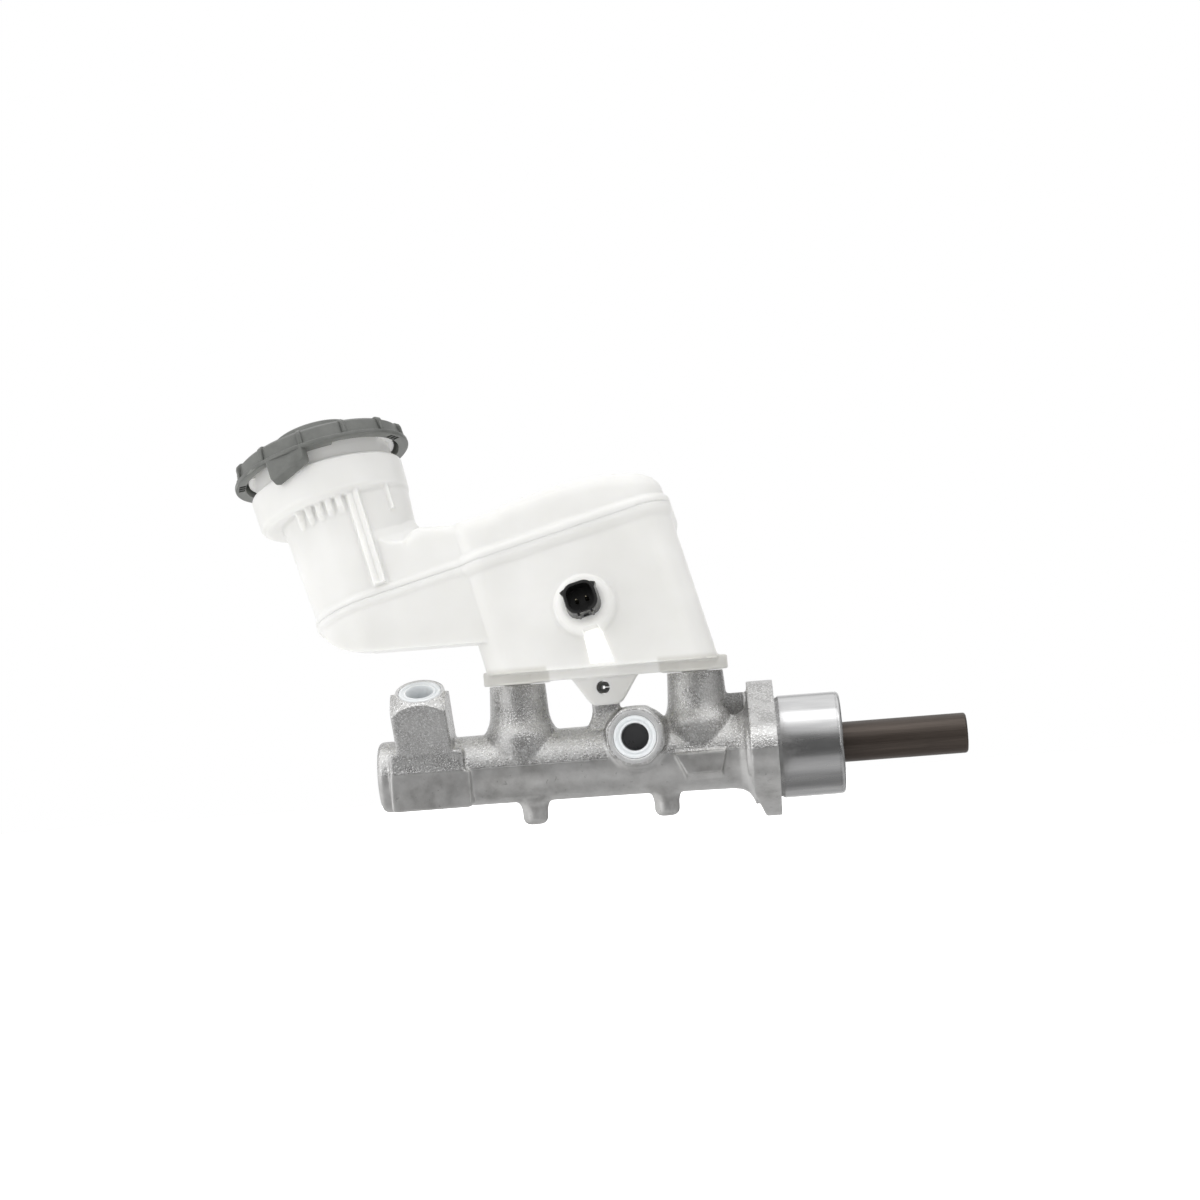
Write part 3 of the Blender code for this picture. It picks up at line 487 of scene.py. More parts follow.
def pilot_turned():
    """Finely turned sleeve: reflections stay in narrow bands along the bore."""
    mat = new_material("pilot_turned")
    lines = mat.noise(mat.coords(stretch=(1, 0.02, 0.02)), scale=1500, detail=2.0)
    bands = mat.noise(mat.coords(stretch=(0.10, 1, 1)), scale=240, rough=0.55)
    smear = mat.noise(mat.coords(), scale=60, detail=4.0, rough=0.6)
    base = mat.ramp(bands, (0.32, (0.50, 0.50, 0.505)), (0.68, 0.66))
    base = mat.mix(base, 0.58, amount=mat.remap(lines, span=(0.35, 0.65), to=(0.0, 0.16)))
    base = mat.mix(base, (0.50, 0.49, 0.48),
                   amount=mat.remap(smear, span=(0.58, 0.80), to=(0.0, 0.18)))
    mat.set("Base Color", base)
    mat.set("Metallic", 1.0)
    mat.set("Roughness", mat.remap(bands, span=(0.3, 0.7), to=(0.20, 0.30), smooth=False))
    tangent = mat.node("ShaderNodeTangent", direction_type="RADIAL", axis="X")
    mat.set("Tangent", tangent.outputs[0])
    mat.set("Anisotropic", 0.6)
    mat.set("Anisotropic Rotation", 0.25)
    height = mat.math("ADD", mat.product(lines, 0.35), mat.product(bands, 0.9))
    mat.bump(height, strength=0.25, distance=0.00012)


def turned(name, dark, light, rough, stretch=(1, 1, 1), metal=1.0):
    mat = new_material(name)
    vector = mat.coords(stretch)
    lines = mat.noise(vector, scale=2600, detail=2.0, rough=0.55)
    wide = mat.noise(vector, scale=260, detail=2.0)
    smear = mat.noise(mat.coords(), scale=60, detail=4.0, rough=0.6)
    streaks = mat.math("ADD", mat.product(lines, 0.55), mat.product(wide, 0.45))
    base = mat.ramp(streaks, (0.35, dark), (0.65, light))
    stain = tuple(0.7 * c for c in rgb(dark))
    base = mat.mix(base, stain, amount=mat.remap(smear, span=(0.55, 0.8), to=(0.0, 0.25)))
    mat.set("Base Color", base)
    mat.set("Metallic", metal)
    mat.set("Roughness", mat.remap(smear, span=(0.3, 0.7), to=(rough - 0.04, rough + 0.06),
                                   smooth=False))
    mat.set("Anisotropic", 0.45)
    mat.bump(lines, strength=0.22, distance=0.00004)


def reservoir_plastic():
    mat = new_material("reservoir_plastic")
    vector = mat.coords()
    x, _, z = mat.xyz()
    cloud = mat.noise(vector, scale=26)
    fine = mat.noise(vector, scale=900, detail=2.0)
    base = mat.ramp(cloud, (0.3, (0.69, 0.687, 0.668)), (0.7, (0.765, 0.762, 0.748)))
    # painted shade: the turret collars under the tank, where it sits on the casting, are greyed
    # darker than the walls
    rail = mat.remap(z, span=(0.0372, 0.0392), to=(1.0, 0.0))
    collars = [mat.remap(mat.math("ABSOLUTE", mat.math("SUBTRACT", x, turret * MM)),
                         span=(0.0128, 0.0142), to=(1.0, 0.0)) for turret in TURRET_X]
    shaded_collars = mat.math("MAXIMUM", *collars)
    base = mat.mix(base, (0.52, 0.51, 0.475), amount=mat.product(rail, shaded_collars, 0.75))
    mat.set("Base Color", base)
    mat.set("Subsurface Weight", 1.0)
    mat.set("Subsurface Radius", (1.0, 1.0, 0.93))
    mat.set("Subsurface Scale", 0.0030)
    mat.set("IOR", 1.47)
    # light passing through the thin walls
    mat.set("Emission Color", (1.0, 0.995, 0.97))
    # the narrow passage under the level switch is lit through both of its walls
    source = mat.node("ShaderNodeTexCoord")
    offset = mat.node("ShaderNodeVectorMath", operation="SUBTRACT")
    mat.feed(offset.inputs[0], source.outputs["Object"])
    mat.feed(offset.inputs[1], tuple(SEAM.translation * MM))

    def seam_coordinate(axis):
        dot = mat.node("ShaderNodeVectorMath", operation="DOT_PRODUCT")
        mat.feed(dot.inputs[0], offset.outputs[0])
        mat.feed(dot.inputs[1], tuple(axis))
        return dot.outputs["Value"]

    from_middle = mat.math("ABSOLUTE", mat.math("SUBTRACT", seam_coordinate(ALONG), 0.0012))
    depth = mat.math("ABSOLUTE", seam_coordinate(BACK))
    half = TANK_HALF * MM
    inside = mat.product(mat.remap(from_middle, span=(0.0062, 0.0066), to=(1.0, 0.0)),
                         mat.remap(depth, span=(half - 0.0008, half - 0.0002), to=(1.0, 0.0)))
    inside = mat.product(inside, mat.remap(seam_coordinate(UP), span=(-0.0405, -0.0395),
                                           to=(1.0, 0.0)))
    inside = mat.product(inside, mat.remap(z, span=(0.0378, 0.0384)))
    mat.set("Emission Strength", mat.math("ADD", mat.product(inside, 0.30), 0.095))
    mat.set("Roughness", mat.remap(cloud, span=(0.3, 0.7), to=(0.30, 0.42), smooth=False))
    waves = mat.noise(vector, scale=70, detail=2.0, rough=0.4)
    height = mat.math("ADD", mat.product(waves, 1.0), mat.product(fine, 0.06))
    mat.bump(height, strength=0.25, distance=0.0006)


def plastic(name, dark, light, rough, grain, strength, translucency=0.0):
    mat = new_material(name)
    vector = mat.coords()
    mottle = mat.noise(vector, scale=150, detail=4.0, rough=0.6)
    texture = mat.noise(vector, scale=grain, detail=2.0, rough=0.55)
    base = mat.ramp(mottle, (0.32, dark), (0.68, light))
    # painted highlight on the edges and painted shade in the creases
    edge = mat.remap(mat.pointiness(), span=(0.52, 0.60), to=(0.0, 0.55))
    base = mat.mix(base, tuple(min(1.0, 1.6 * c + 0.02) for c in light), amount=edge)
    crease_shade = mat.remap(mat.pointiness(), span=(0.42, 0.49), to=(0.5, 0.0))
    base = mat.mix(base, tuple(0.45 * c for c in dark), amount=crease_shade)
    mat.set("Base Color", base)
    mat.set("Roughness", mat.remap(mottle, span=(0.3, 0.7), to=(rough - 0.05, rough + 0.07),
                                   smooth=False))
    if translucency:
        mat.set("Subsurface Weight", translucency)
        mat.set("Subsurface Scale", 0.0015)
        mat.set("Subsurface Radius", (1, 1, 1))
    mat.bump(texture, strength=strength, distance=0.00012)
    return mat


def reed_glass():
    mat = new_material("reed_glass")
    cloud = mat.noise(mat.coords(), scale=300, detail=2.0)
    mat.set("Base Color", mat.ramp(cloud, (0.3, (0.62, 0.78, 0.68)), (0.7, (0.70, 0.84, 0.75))))
    mat.set("Transmission Weight", 0.7)
    mat.set("Roughness", mat.remap(cloud, span=(0.3, 0.7), to=(0.05, 0.12), smooth=False))


PLUG_COLOURS = ((0.77, 0.80, 0.815), (0.84, 0.865, 0.88))     # dark, light


def front_plug():
    """Pale plug; its deep blind hole is darkened with a painted shade."""
    mat = plastic("front_plug", *PLUG_COLOURS, rough=0.30, grain=900, strength=0.15,
                  translucency=0.35)
    pale = mat.end.inputs["Base Color"].links[0].from_socket
    x, y, z = mat.xyz()
    across = mat.math("SUBTRACT", x, FRONT_PORT[0] * MM)
    rise = mat.math("SUBTRACT", z, FRONT_PORT[2] * MM)
    square = mat.math("ADD", mat.product(across, across), mat.product(rise, rise))
    radius = mat.math("SQRT", square)
    # painted shade deep inside the blind hole
    hole_shade = mat.product(mat.remap(y, span=(-0.0264, -0.0245)),
                       mat.remap(radius, span=(0.0053, 0.0056), to=(1.0, 0.0)))
    mat.set("Base Color", mat.mix(pale, (0.13, 0.13, 0.135), amount=hole_shade))
    mat.set("Subsurface Weight", mat.remap(hole_shade, span=(0.0, 1.0), to=(0.35, 0.0), smooth=False))


def make_materials():
    """For turned and plastic the two colours are the dark and the light one."""
    front_plug()
    turned("port_seat", 0.62, 0.76, rough=0.50, metal=0.65)
    cast_aluminium()
    pilot_turned()
    turned("turned_aluminium", 0.58, 0.76, rough=0.26, stretch=(1, 0.03, 0.03))
    turned("dark_steel", 0.10, (0.20, 0.20, 0.195), rough=0.38)
    turned("zinc_steel", (0.50, 0.50, 0.51), (0.68, 0.68, 0.69), rough=0.33)
    turned("anodised_tail", (0.052, 0.040, 0.033), (0.085, 0.068, 0.057), rough=0.34,
           stretch=(0.02, 1, 1), metal=0.55)
    plastic("black_rubber", (0.012, 0.012, 0.013), (0.026, 0.026, 0.027),
            rough=0.62, grain=1800, strength=0.35)
    reservoir_plastic()
    plastic("cap_plastic", (0.118, 0.122, 0.114), (0.160, 0.165, 0.154),
            rough=0.36, grain=2600, strength=0.30)
    plastic("connector_plastic", (0.006, 0.006, 0.006), (0.013, 0.013, 0.0125),
            rough=0.30, grain=1500, strength=0.18)
    plastic("plug_plastic", *PLUG_COLOURS, rough=0.30, grain=900, strength=0.15,
            translucency=0.6)
    plastic("nylon", (0.66, 0.62, 0.52), (0.78, 0.75, 0.66),
            rough=0.42, grain=1200, strength=0.2, translucency=0.4)
    turned("terminal_brass", (0.62, 0.56, 0.40), (0.80, 0.74, 0.56), rough=0.24)
    reed_glass()
    plastic("ferrite", (0.03, 0.03, 0.032), (0.06, 0.06, 0.065),
            rough=0.55, grain=2200, strength=0.4)
    plastic("float_foam", (0.42, 0.38, 0.30), (0.60, 0.55, 0.44),
            rough=0.75, grain=1100, strength=0.8)


def dress(ob, material, body="housing", node=None):
    """Gives an object its material, the body it moves with and the CAD node it replaces."""
    ob.data.materials.clear()
    ob.data.materials.append(MATERIALS[material])
    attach(ob, body)
    if node:
        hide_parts(node)


def turned_part(node, profile, material, body="housing", at=BORE, steps=72, closed=False):
    dress(lathe(profile, at, steps, closed, "v_" + node), material, body, node)


# ------------------------------------------------------------------ casting
def barrel_and_flange():
    barrel = fillet([(0.0, 0), (0.0, 13.9), (30, 13.6), (100, 14.1), (143, 14.9), (148, 15.4),
                     (148, 0)], [0, 2.4, 3, 3, 3, 0, 0])
    outline = circle(0, 0, 26.5, 96)
    for side in (-1, 1):
        outline += circle(side * STUD_Y, 0, 11.3, 64)
    flange = prism(hull(outline), 145.7, 156.3, YZ)
    # the lower left face of the flange is drafted back
    draft = [(140, -14.5), (145.2, -14.5), (150.2, -27.5), (140, -27.5)]
    cut(flange, [prism(draft, -60, 60, XZ_FRONT)], exact=True)
    collar = [(138.5, 0), (138.5, 14.9), (141.5, 15.4), (143.8, 16.8), (145.4, 19.2),
              (146.4, 22.2), (146.4, 0)]
    return [lathe(barrel, BORE, 128), flange, lathe(collar, BORE)]


def end_block():
    """Block round the nose; its upper part ends sooner than its lower part."""
    upper = round_rect(5.5, 34.3, -2.0, 9.1, 1.2, 4)
    lower = round_rect(5.5, 36.6, -13.6, 0.8, 1.2, 4)
    return [prism(outline, z0, z1, XZ_FRONT)
            for outline, z0, z1 in ((upper, -2.0, 16.4), (lower, -2.0, 16.7), (upper, -9.5, 0))]


def octagon(scale):
    """Eight-sided outline with soft corners."""
    points = []
    for i in range(96):
        angle = 360.0 * i / 96
        off_flat = (angle + 22.5) % 45 - 22.5
        r = min(11.35, 10.85 / math.cos(math.radians(off_flat)))
        points.append((scale * r * math.cos(math.radians(angle)),
                       scale * r * math.sin(math.radians(angle))))
    return points


def outlet_bosses():
    """Leaning top boss, front boss and the swelling under the front one."""
    swelling = [(-2, 0), (-2, 12.8), (4, 13.9), (8, 13.7), (11.0, 13.0), (13.5, 12.0),
                (15.5, 11.0), (15.5, 0)]
    return [
        loft([(round_rect(-10.6, 11.0, -10.9, 10.9, 1.2, 8), 2.0),
              (round_rect(-11.6, 10.1, -10.6, 10.9, 1.2, 8), 38.0)], TOP),
        loft([(octagon(1.1), 0.0), (octagon(1.04), 12.0), (octagon(1.0), 27.6)], FRONT),
        lathe(swelling, frame_at((102.2, 0, 6.8), (0, -1, 0)))]


def seats_turrets_and_pads():
    stud_seat = [(143.9, 0), (143.9, 9.0), (144.8, 9.8), (147.0, 9.8), (147.0, 0)]
    shapes = [lathe(stud_seat, along_x(side * STUD_Y), 64) for side in (-1, 1)]
    turret_top = TURRET_TOP + 0.6
    turret = [(1.0, 0), (1.0, 13.8), (5.0, 14.3), (9.0, 14.8), (12.0, 14.7), (14.0, 14.1),
              (15.6, 13.2), (17.4, 12.3), (20.0, 11.7), (24, 11.4), (turret_top, 10.95),
              (turret_top, 0)]
    shapes += [lathe(turret, at_x(x)) for x in TURRET_X]
    # lug for the roll pin
    lug_top = round_rect(85.2, 96.0, -4.4, 4.4, 1.6, 6)
    shapes.append(loft([(round_rect(82.0, 99.2, -7.5, 7.5, 2.5, 6), 8.0),
                        (round_rect(83.2, 98.0, -6.2, 6.2, 2.2, 6), 14.2),
                        (round_rect(84.6, 96.6, -4.9, 4.9, 1.8, 6), 17.0),
                        (lug_top, 19.5), (lug_top, 31.3)]))
    # web between the right turret and the flange
    shapes.append(box((128, -4.6, 5), (147, 4.6, 22.5)))
    # pad low on the front
    shapes.append(loft([([(116.0, 1.2), (136.8, 1.2), (134.6, -12.2), (120.2, -12.2)], 6.0),
                        ([(116.4, 1.0), (136.4, 1.0), (134.0, -7.2), (120.4, -7.2)], 16.6)],
                       XZ_FRONT))
    # two round feet under the barrel: x and length below the bore's axis
    for x, end in ((STOP_PIN_X, 22.9), (111.4, 23.4)):
        foot = [(4, 0), (4, 8.4), (12.2, 8.0), (13.6, 6.6), (15.2, 5.5), (17.5, 5.0),
                (end - 2.4, 4.95), (end - 1.3, 4.5), (end - 0.5, 3.7), (end, 2.4), (end, 0)]
        shapes.append(lathe(foot, hanging(x), 64))
    return shapes


def face_cutters():
    """Flange face, turret tops, and the outlet faces with a broken edge."""
    top_face = [(29.6, 16.4), (32.0, 14.9), (34.4, 13.0), (36.1, 10.9), (TOP_FACE, 9.8),
                (TOP_FACE, 0), (44, 0), (44, 20), (29.6, 20)]
    front_face = [(26.2, 11.9), (FRONT_FACE, 10.5), (FRONT_FACE, 0), (40, 0), (40, 18),
                  (26.2, 18)]
    return [box((FLANGE_FACE, -60, -60), (190, 60, 60)),
            box((-60, -60, TURRET_TOP), (200, 60, 50)),
            lathe(top_face, TOP, 128, closed=True),
            lathe(front_face, FRONT, 128, closed=True)]


def hole_cutters():
    tools = [disc(6.0, 158, BORE_R, BORE, 96)]
    # turret pockets, each with a supply and a compensating hole down to the bore
    pocket = [(22.0, 0), (22.0, 8.2), (31.2, 8.2), (32.5, 9.1), (32.5, 0)]
    for x, supply, compensating in zip(TURRET_X, (62.0, 131.0), (49.3, 119.2)):
        tools.append(lathe(pocket, at_x(x)))
        tools.append(rod((supply, 0, 8.0), (supply, 0, 23.0), 2.2, 32))
        tools.append(rod((compensating, 0, 8.0), (compensating, 0, 23.0), 0.5, 16))
    for at, face, depth in ((FRONT, FRONT_FACE, 14.6), (TOP, TOP_FACE, 22.0)):
        tools.append(lathe([(depth, 0), (depth, PORT_R), (face - 2.3, PORT_R),
                            (face - 1.6, PORT_R + 0.7), (face - 1.6, 8.6), (face - 0.25, 8.6),
                            (face + 0.3, 9.1), (face + 0.3, 0)], at))
    # drillings from the outlets into the bore
    tools.append(rod((99.0, -17.5, 8.6), (89.6, -5.0, 3.0), 1.6, 24))
    tools.append(disc(7, 23, 2.0, TOP, 32))
    x, _, z = ROLL_PIN
    tools.append(rod((x, -9, z), (x, 9, z), 2.6))
    stud_hole = [(140, 0), (140, 4.5), (155.4, 4.5), (156.2, 5.3), (156.2, 0)]
    recess = round_rect(137.3, 144.3, 13.8, 30, 3.2, 8)
    for side in (-1, 1):
        tools.append(lathe(stud_hole, along_x(side * STUD_Y), 64))
        tools.append(prism(recess, 2.2, 6.0, XZ if side > 0 else XZ_FRONT))
    tools.append(rod((STOP_PIN_X, 0, -24), (STOP_PIN_X, 0, -8), 1.9, 32))
    return tools


def casting():
    shapes = barrel_and_flange() + end_block() + outlet_bosses() + seats_turrets_and_pads()
    ob = melt("cylinder_casting", shapes, smoothing=9)
    # everything machined afterwards stays crisp
    cut(ob, face_cutters() + hole_cutters())
    shade(ob, 30)
    # large machined faces keep their own direction where they meet the rounded skin
    mod = ob.modifiers.new("w", "WEIGHTED_NORMAL")
    mod.mode = "FACE_AREA"
    mod.weight = 80
    mod.keep_sharp = True
    bake(ob)
    dress(ob, "cast_aluminium", node="cylinder_body")


def parting_line():
    """Thin, uneven flash where the two dies met, along the front and back of the barrel."""
    bm = bmesh.new()
    front_runs = ((-1, 37.0, 90.0), (-1, 135.4, 144.0))
    for side, start, end in front_runs + ((1, 4.0, 142.0),):
        steps = max(4, int((end - start) / 0.8))
        rings = []
        for i in range(steps + 1):
            x = start + (end - start) * i / steps
            barrel = 13.6 + (x - 30) / 113.0 * 1.3 if x > 30 else 13.75
            width = 0.34 + 0.10 * math.sin(x * 1.7) + 0.07 * math.sin(x * 4.1 + 1)
            z = 0.8 + 0.10 * math.sin(x * 0.9 + 0.4)
            height = 0.22 + 0.06 * math.sin(x * 2.3)
            fade = min(1.0, i / 3.0, (steps - i) / 3.0)
            root = barrel - 0.9
            crest = barrel - 0.05 + height * fade
            section = ((root, z - width), (crest, z - width * 0.35),
                       (crest, z + width * 0.35), (root, z + width))
            rings.append([bm.verts.new((x * MM, side * y * MM, level * MM))
                          for y, level in section])
        skin(bm, rings)
    dress(make(bm, "parting_flash"), "cast_aluminium")


def pilot_sleeve():
    profile = [
        (155.9, BORE_R), (155.9, 18.6), (156.1, 19.2), (156.9, 19.45), (157.5, SLEEVE_R - 0.1),
        (157.8, SLEEVE_R), (179.5, SLEEVE_R - 0.05), (179.62, SLEEVE_R - 0.22),
        (179.86, SLEEVE_R - 0.22), (180.0, SLEEVE_R - 0.07), (180.2, SLEEVE_R - 0.08),
        (180.9, 19.5), (181.35, 18.9), (181.5, 18.2), (181.5, 15.2), (181.3, 14.9),
        (180.2, GUIDE_R), (177.0, GUIDE_R), (177.0, 14.8), (175.2, 14.8), (175.2, GUIDE_R),
        (160, GUIDE_R), (160, BORE_R), (158.2, BORE_R)]
    ob = lathe(profile, BORE, 192, closed=True, name="pilot_sleeve")
    dress(ob, "pilot_turned", node="cylinder_body")


def port_seats():
    """Bright spot-faced rings around the transit plugs."""
    for name, at, face, r in (("front_port_seat", FRONT, FRONT_FACE, 10.5),
                              ("top_port_seat", TOP, TOP_FACE, 9.7)):
        profile = [(face - 1.75, 8.35), (face - 0.4, 8.42), (face - 0.05, 8.75),
                   (face + 0.02, 8.9), (face + 0.02, r - 0.3), (face - 0.1, r - 0.1),
                   (face - 0.4, r), (face - 1.75, r)]
        dress(lathe(profile, at, 128, True, name), "port_seat")


# ------------------------------------------------------------------ plungers, cups, springs
def cup(x0, x1, inner, outer, forward=True):
    """Lip seal; its hollow faces left when forward."""
    depth = x1 - x0
    profile = [
        (0.0, inner + 0.9), (0.0, inner + 0.1), (0.12 * depth, inner), (depth - 0.3, inner),
        (depth, inner + 0.3), (depth, outer - 0.7), (depth - 0.3, outer - 0.42),
        (0.5 * depth, outer - 0.2), (0.1, outer), (0.0, outer - 0.15), (0.0, outer - 0.8),
        (0.38 * depth, outer - 1.4), (0.44 * depth, outer - 1.9), (0.44 * depth, inner + 1.8),
        (0.38 * depth, inner + 1.3)]
    return [(x0 + x if forward else x1 - x, r) for x, r in profile]


def washer(x0, x1, inner, outer, bevel=0.25):
    return [(x0, inner + bevel), (x0 + bevel, inner), (x1 - bevel, inner), (x1, inner + bevel),
            (x1, outer - bevel), (x1 - bevel, outer), (x0 + bevel, outer), (x0, outer - bevel)]


def bore_parts():
    secondary_piston = fillet([
        (41.0, 0), (41.0, 4.4), (54.2, 4.4), (54.2, PISTON_R), (57.6, PISTON_R), (57.6, 6.3),
        (77.5, 6.3), (77.5, PISTON_R), (79.5, PISTON_R), (79.5, 6.8), (84.0, 6.8),
        (84.0, PISTON_R), (88.0, PISTON_R), (88.0, 3.5), (70.0, 3.5), (70.0, 0)], 0.4, 3)
    retainer = [
        (88.3, 3.6), (88.3, 9.0), (88.5, 9.2), (89.2, 9.2), (89.4, 9.0), (89.4, 5.0),
        (89.8, 4.5), (96.5, 4.5), (97.0, 4.0), (97.0, 1.95), (96.0, 1.95), (96.0, 3.6)]
    screw = fillet([(92.9, 0), (92.9, 3.1), (95.7, 3.1), (95.7, 1.5), (123.8, 1.5), (123.8, 0)],
                   0.3, 3)
    # CAD node, profile, closed profile, material, body
    for node, profile, closed, material, body in (
            ("secondary_piston", secondary_piston, False, "turned_aluminium",
             "secondary_plunger"),
            ("secondary_spring_seat", washer(48.3, 49.7, 4.7, 9.3), True, "zinc_steel",
             "secondary_plunger"),
            ("secondary_front_cup", cup(50.1, 53.9, 4.7, 10.0), True, "black_rubber",
             "secondary_plunger"),
            ("secondary_rear_cup", cup(79.9, 83.6, 7.1, 10.0, False), True, "black_rubber",
             "secondary_plunger"),
            ("primary_spring_washer", washer(118.1, 119.6, 4.7, 9.3), True, "zinc_steel",
             "primary_plunger"),
            ("primary_front_cup", cup(120.1, 123.9, 4.7, 10.0), True, "black_rubber",
             "primary_plunger"),
            ("primary_spring_retainer", retainer, True, "zinc_steel", "secondary_plunger"),
            ("retainer_screw", screw, False, "zinc_steel", "primary_plunger"),
            ("piston_guide", washer(160.4, 167.6, 8.1, 13.35, 0.5), True, "nylon", "housing"),
            ("guide_cup", cup(168.0, 173.0, 8.1, 13.3), True, "black_rubber", "housing"),
            ("stop_washer", washer(173.3, 174.7, 8.2, 13.35), True, "zinc_steel", "housing")):
        turned_part(node, profile, material, body, closed=closed)


def plunger_and_tail():
    """Plunger with its long tail; the tail's rim is rounded over."""
    profile = [
        (124.4, 0), (124.4, 1.9), (116.5, 1.9), (116.5, 4.4), (124.3, 4.4), (124.3, PISTON_R),
        (127.9, PISTON_R), (127.9, TAIL_R), (155.0, TAIL_R), (155.6, 9.7), (159.6, 9.7),
        (160.0, TAIL_R), (TAIL_END, TAIL_R), (TAIL_END, 5.2), (TAIL_END - 0.8, 4.6),
        (TAIL_END - 38, 4.6), (TAIL_END - 41, 0)]
    radii = [0, 0, 0.2, 0.4, 0.3, 0.3, 0.3, 0.5, 0, 0, 0, 0, 1.15, 0.2, 0.2, 0, 0]
    ob = lathe(fillet(profile, radii, 5), BORE, 128, name="plunger_and_tail")
    dress(ob, "anodised_tail", "primary_plunger", "primary_piston")


def coil(name, start, length, turns, radius=6.9, wire=1.05, per_turn=40, sides=12):
    """Helical spring along X with closer-wound ends; wire is the wire's radius."""
    bm = bmesh.new()
    total = int(turns * per_turn)
    flat = 0.75 / turns                  # share of the wire in each end
    rings = []
    for i in range(total + 1):
        t = i / total
        angle = 2 * math.pi * turns * t
        middle = min(max((t - flat) / (1 - 2 * flat), 0.0), 1.0)
        x = (start + wire * (1 + 1.3 * min(t / flat, 1.0))
             + (length - 2 * wire - 2.6 * wire) * middle)
        if t > 1 - flat:
            x += 1.3 * wire * (t - (1 - flat)) / flat
        centre = Vector((x, radius * math.cos(angle), radius * math.sin(angle)))
        outward = Vector((0, math.cos(angle), math.sin(angle)))
        rings.append([bm.verts.new((centre + outward * wire * math.cos(2 * math.pi * k / sides)
                                    + Vector((1, 0, 0)) * wire
                                    * math.sin(2 * math.pi * k / sides)) * MM)
                      for k in range(sides)])
    skin(bm, rings)
    return make(bm, name, angle=60)


def springs():
    for which, body, start, length, turns in (
            ("secondary", "housing", 6.9, 41.1, 7.5),
            ("primary", "secondary_plunger", 89.7, 28.1, 5.5)):
        node = which + "_return_spring"
        ob = coil("v_" + node, start, length, turns)
        dress(ob, "zinc_steel", body, node)
        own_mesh(ob)


def snap_ring():
    """Split ring with two ears with plier holes beside the gap."""
    ear_z = 4.9
    ob = lathe(washer(175.5, 176.7, 11.6, 14.5, 0.3), BORE, 96, True, "v_snap_ring")
    cut(ob, [box((175.0, 8.0, -3.6), (177.5, 16.0, 3.6))], exact=True)
    fuse(ob, [disc(175.5, 176.7, 2.2, along_x(11.4, side * ear_z), 32) for side in (-1, 1)],
         exact=True)
    cut(ob, [disc(174, 178, 0.9, along_x(11.2, side * ear_z), 24) for side in (-1, 1)],
        exact=True)
    shade(ob)
    dress(ob, "zinc_steel", node="snap_ring")


def stop_pin_and_grommets():
    turned_part("secondary_stop_pin",
                fillet([(7.2, 0), (7.2, 1.6), (21.6, 1.6), (21.6, 0)], 0.3, 3),
                "zinc_steel", at=hanging(STOP_PIN_X), steps=40)
    grommet = [(22.4, 4.4), (22.4, 7.4), (22.7, 7.75), (23.2, 7.95), (24.2, 7.9), (25.4, 7.65),
               (27.6, 7.65), (28.8, 7.9), (30.2, 7.95), (31.4, 7.85), (31.9, 7.6), (31.9, 5.5),
               (24.0, 5.5), (23.4, 4.9), (23.4, 4.4)]
    for node, x in zip(("front_grommet", "rear_grommet"), TURRET_X):
        turned_part(node, grommet, "black_rubber", at=at_x(x), closed=True)


def transit_plugs():
    # (depth below the outlet's face, radius)
    profile = [(10.0, 0), (10.0, 5.0), (9.6, 5.5), (9.0, 5.75), (5.0, 5.8), (1.45, 5.8),
               (1.35, 6.2), (1.35, 8.0), (1.1, 8.25), (0.45, 8.3), (0.15, 8.1), (0.05, 7.8),
               (0.05, 7.3), (0.35, 6.9), (0.45, 6.5), (0.35, 6.1), (0.1, 5.9), (0.15, 5.6),
               (0.6, 5.35), (2.0, 5.25), (8.6, 5.0), (9.0, 4.6), (9.0, 0)]
    for side, at, face, material in (("front", FRONT, FRONT_FACE, "front_plug"),
                                     ("top", TOP, TOP_FACE, "plug_plastic")):
        turned_part("transit_plug_" + side, [(face - depth, r) for depth, r in profile],
                    material, side + "_plug", at, 96)


# ------------------------------------------------------------------ reservoir (seam frame)
# Underside of the far left end of the lobe, sweeping up to the left: world (X, Z)
SWEEP = [(-60, 40), (0, 40), (0, 49.3), (-6.0, 49.9), (-11.5, 51.6), (-16.0, 54.4),
         (-19.6, 58.2), (-22.2, 62.8), (-24.6, 70.0), (-60, 90)]


def tank_outline(grow=0.0):
    return round_rect(TANK_X0 - grow, TANK_X1 + grow, -TANK_HALF - grow, TANK_HALF + grow,
                      max(0.5, TANK_CORNER + grow), 14)


def lobe_outline(grow=0.0, x_end=-25.0):
    reach = LOBE_R + grow
    return arc(LOBE_X, 0, reach, 48, 90, 270) + [(x_end, -LOBE_R - grow), (x_end, reach)]


def below(z):
    """Everything under a world height."""
    return box((-150, -120, -120), (260, 120, z), FROM_WORLD)


def sweep_cutter(dx, dz, half):
    return prism([(x + dx, z + dz) for x, z in SWEEP], -half, half, FROM_WORLD @ XZ)


def place(ob):
    ob.data.transform(scaled(SEAM))


def channel(grow, half):
    """Notch through the tank from front to back, under the level switch."""
    middle = 1.2
    # (half width, z), from the mouth up
    sides = [(5.2 + grow, -62), (3.7 + grow, -42.5 + grow), (2.8 + grow, -40.5 + grow)]
    outline = ([(middle - sides[0][0], -62)] + [(middle + w, z) for w, z in sides]
               + [(middle - w, z) for w, z in sides[:0:-1]])
    return cut(prism(outline, -half, half, XZ_FRONT), [below(RAIL_TOP)], exact=True)


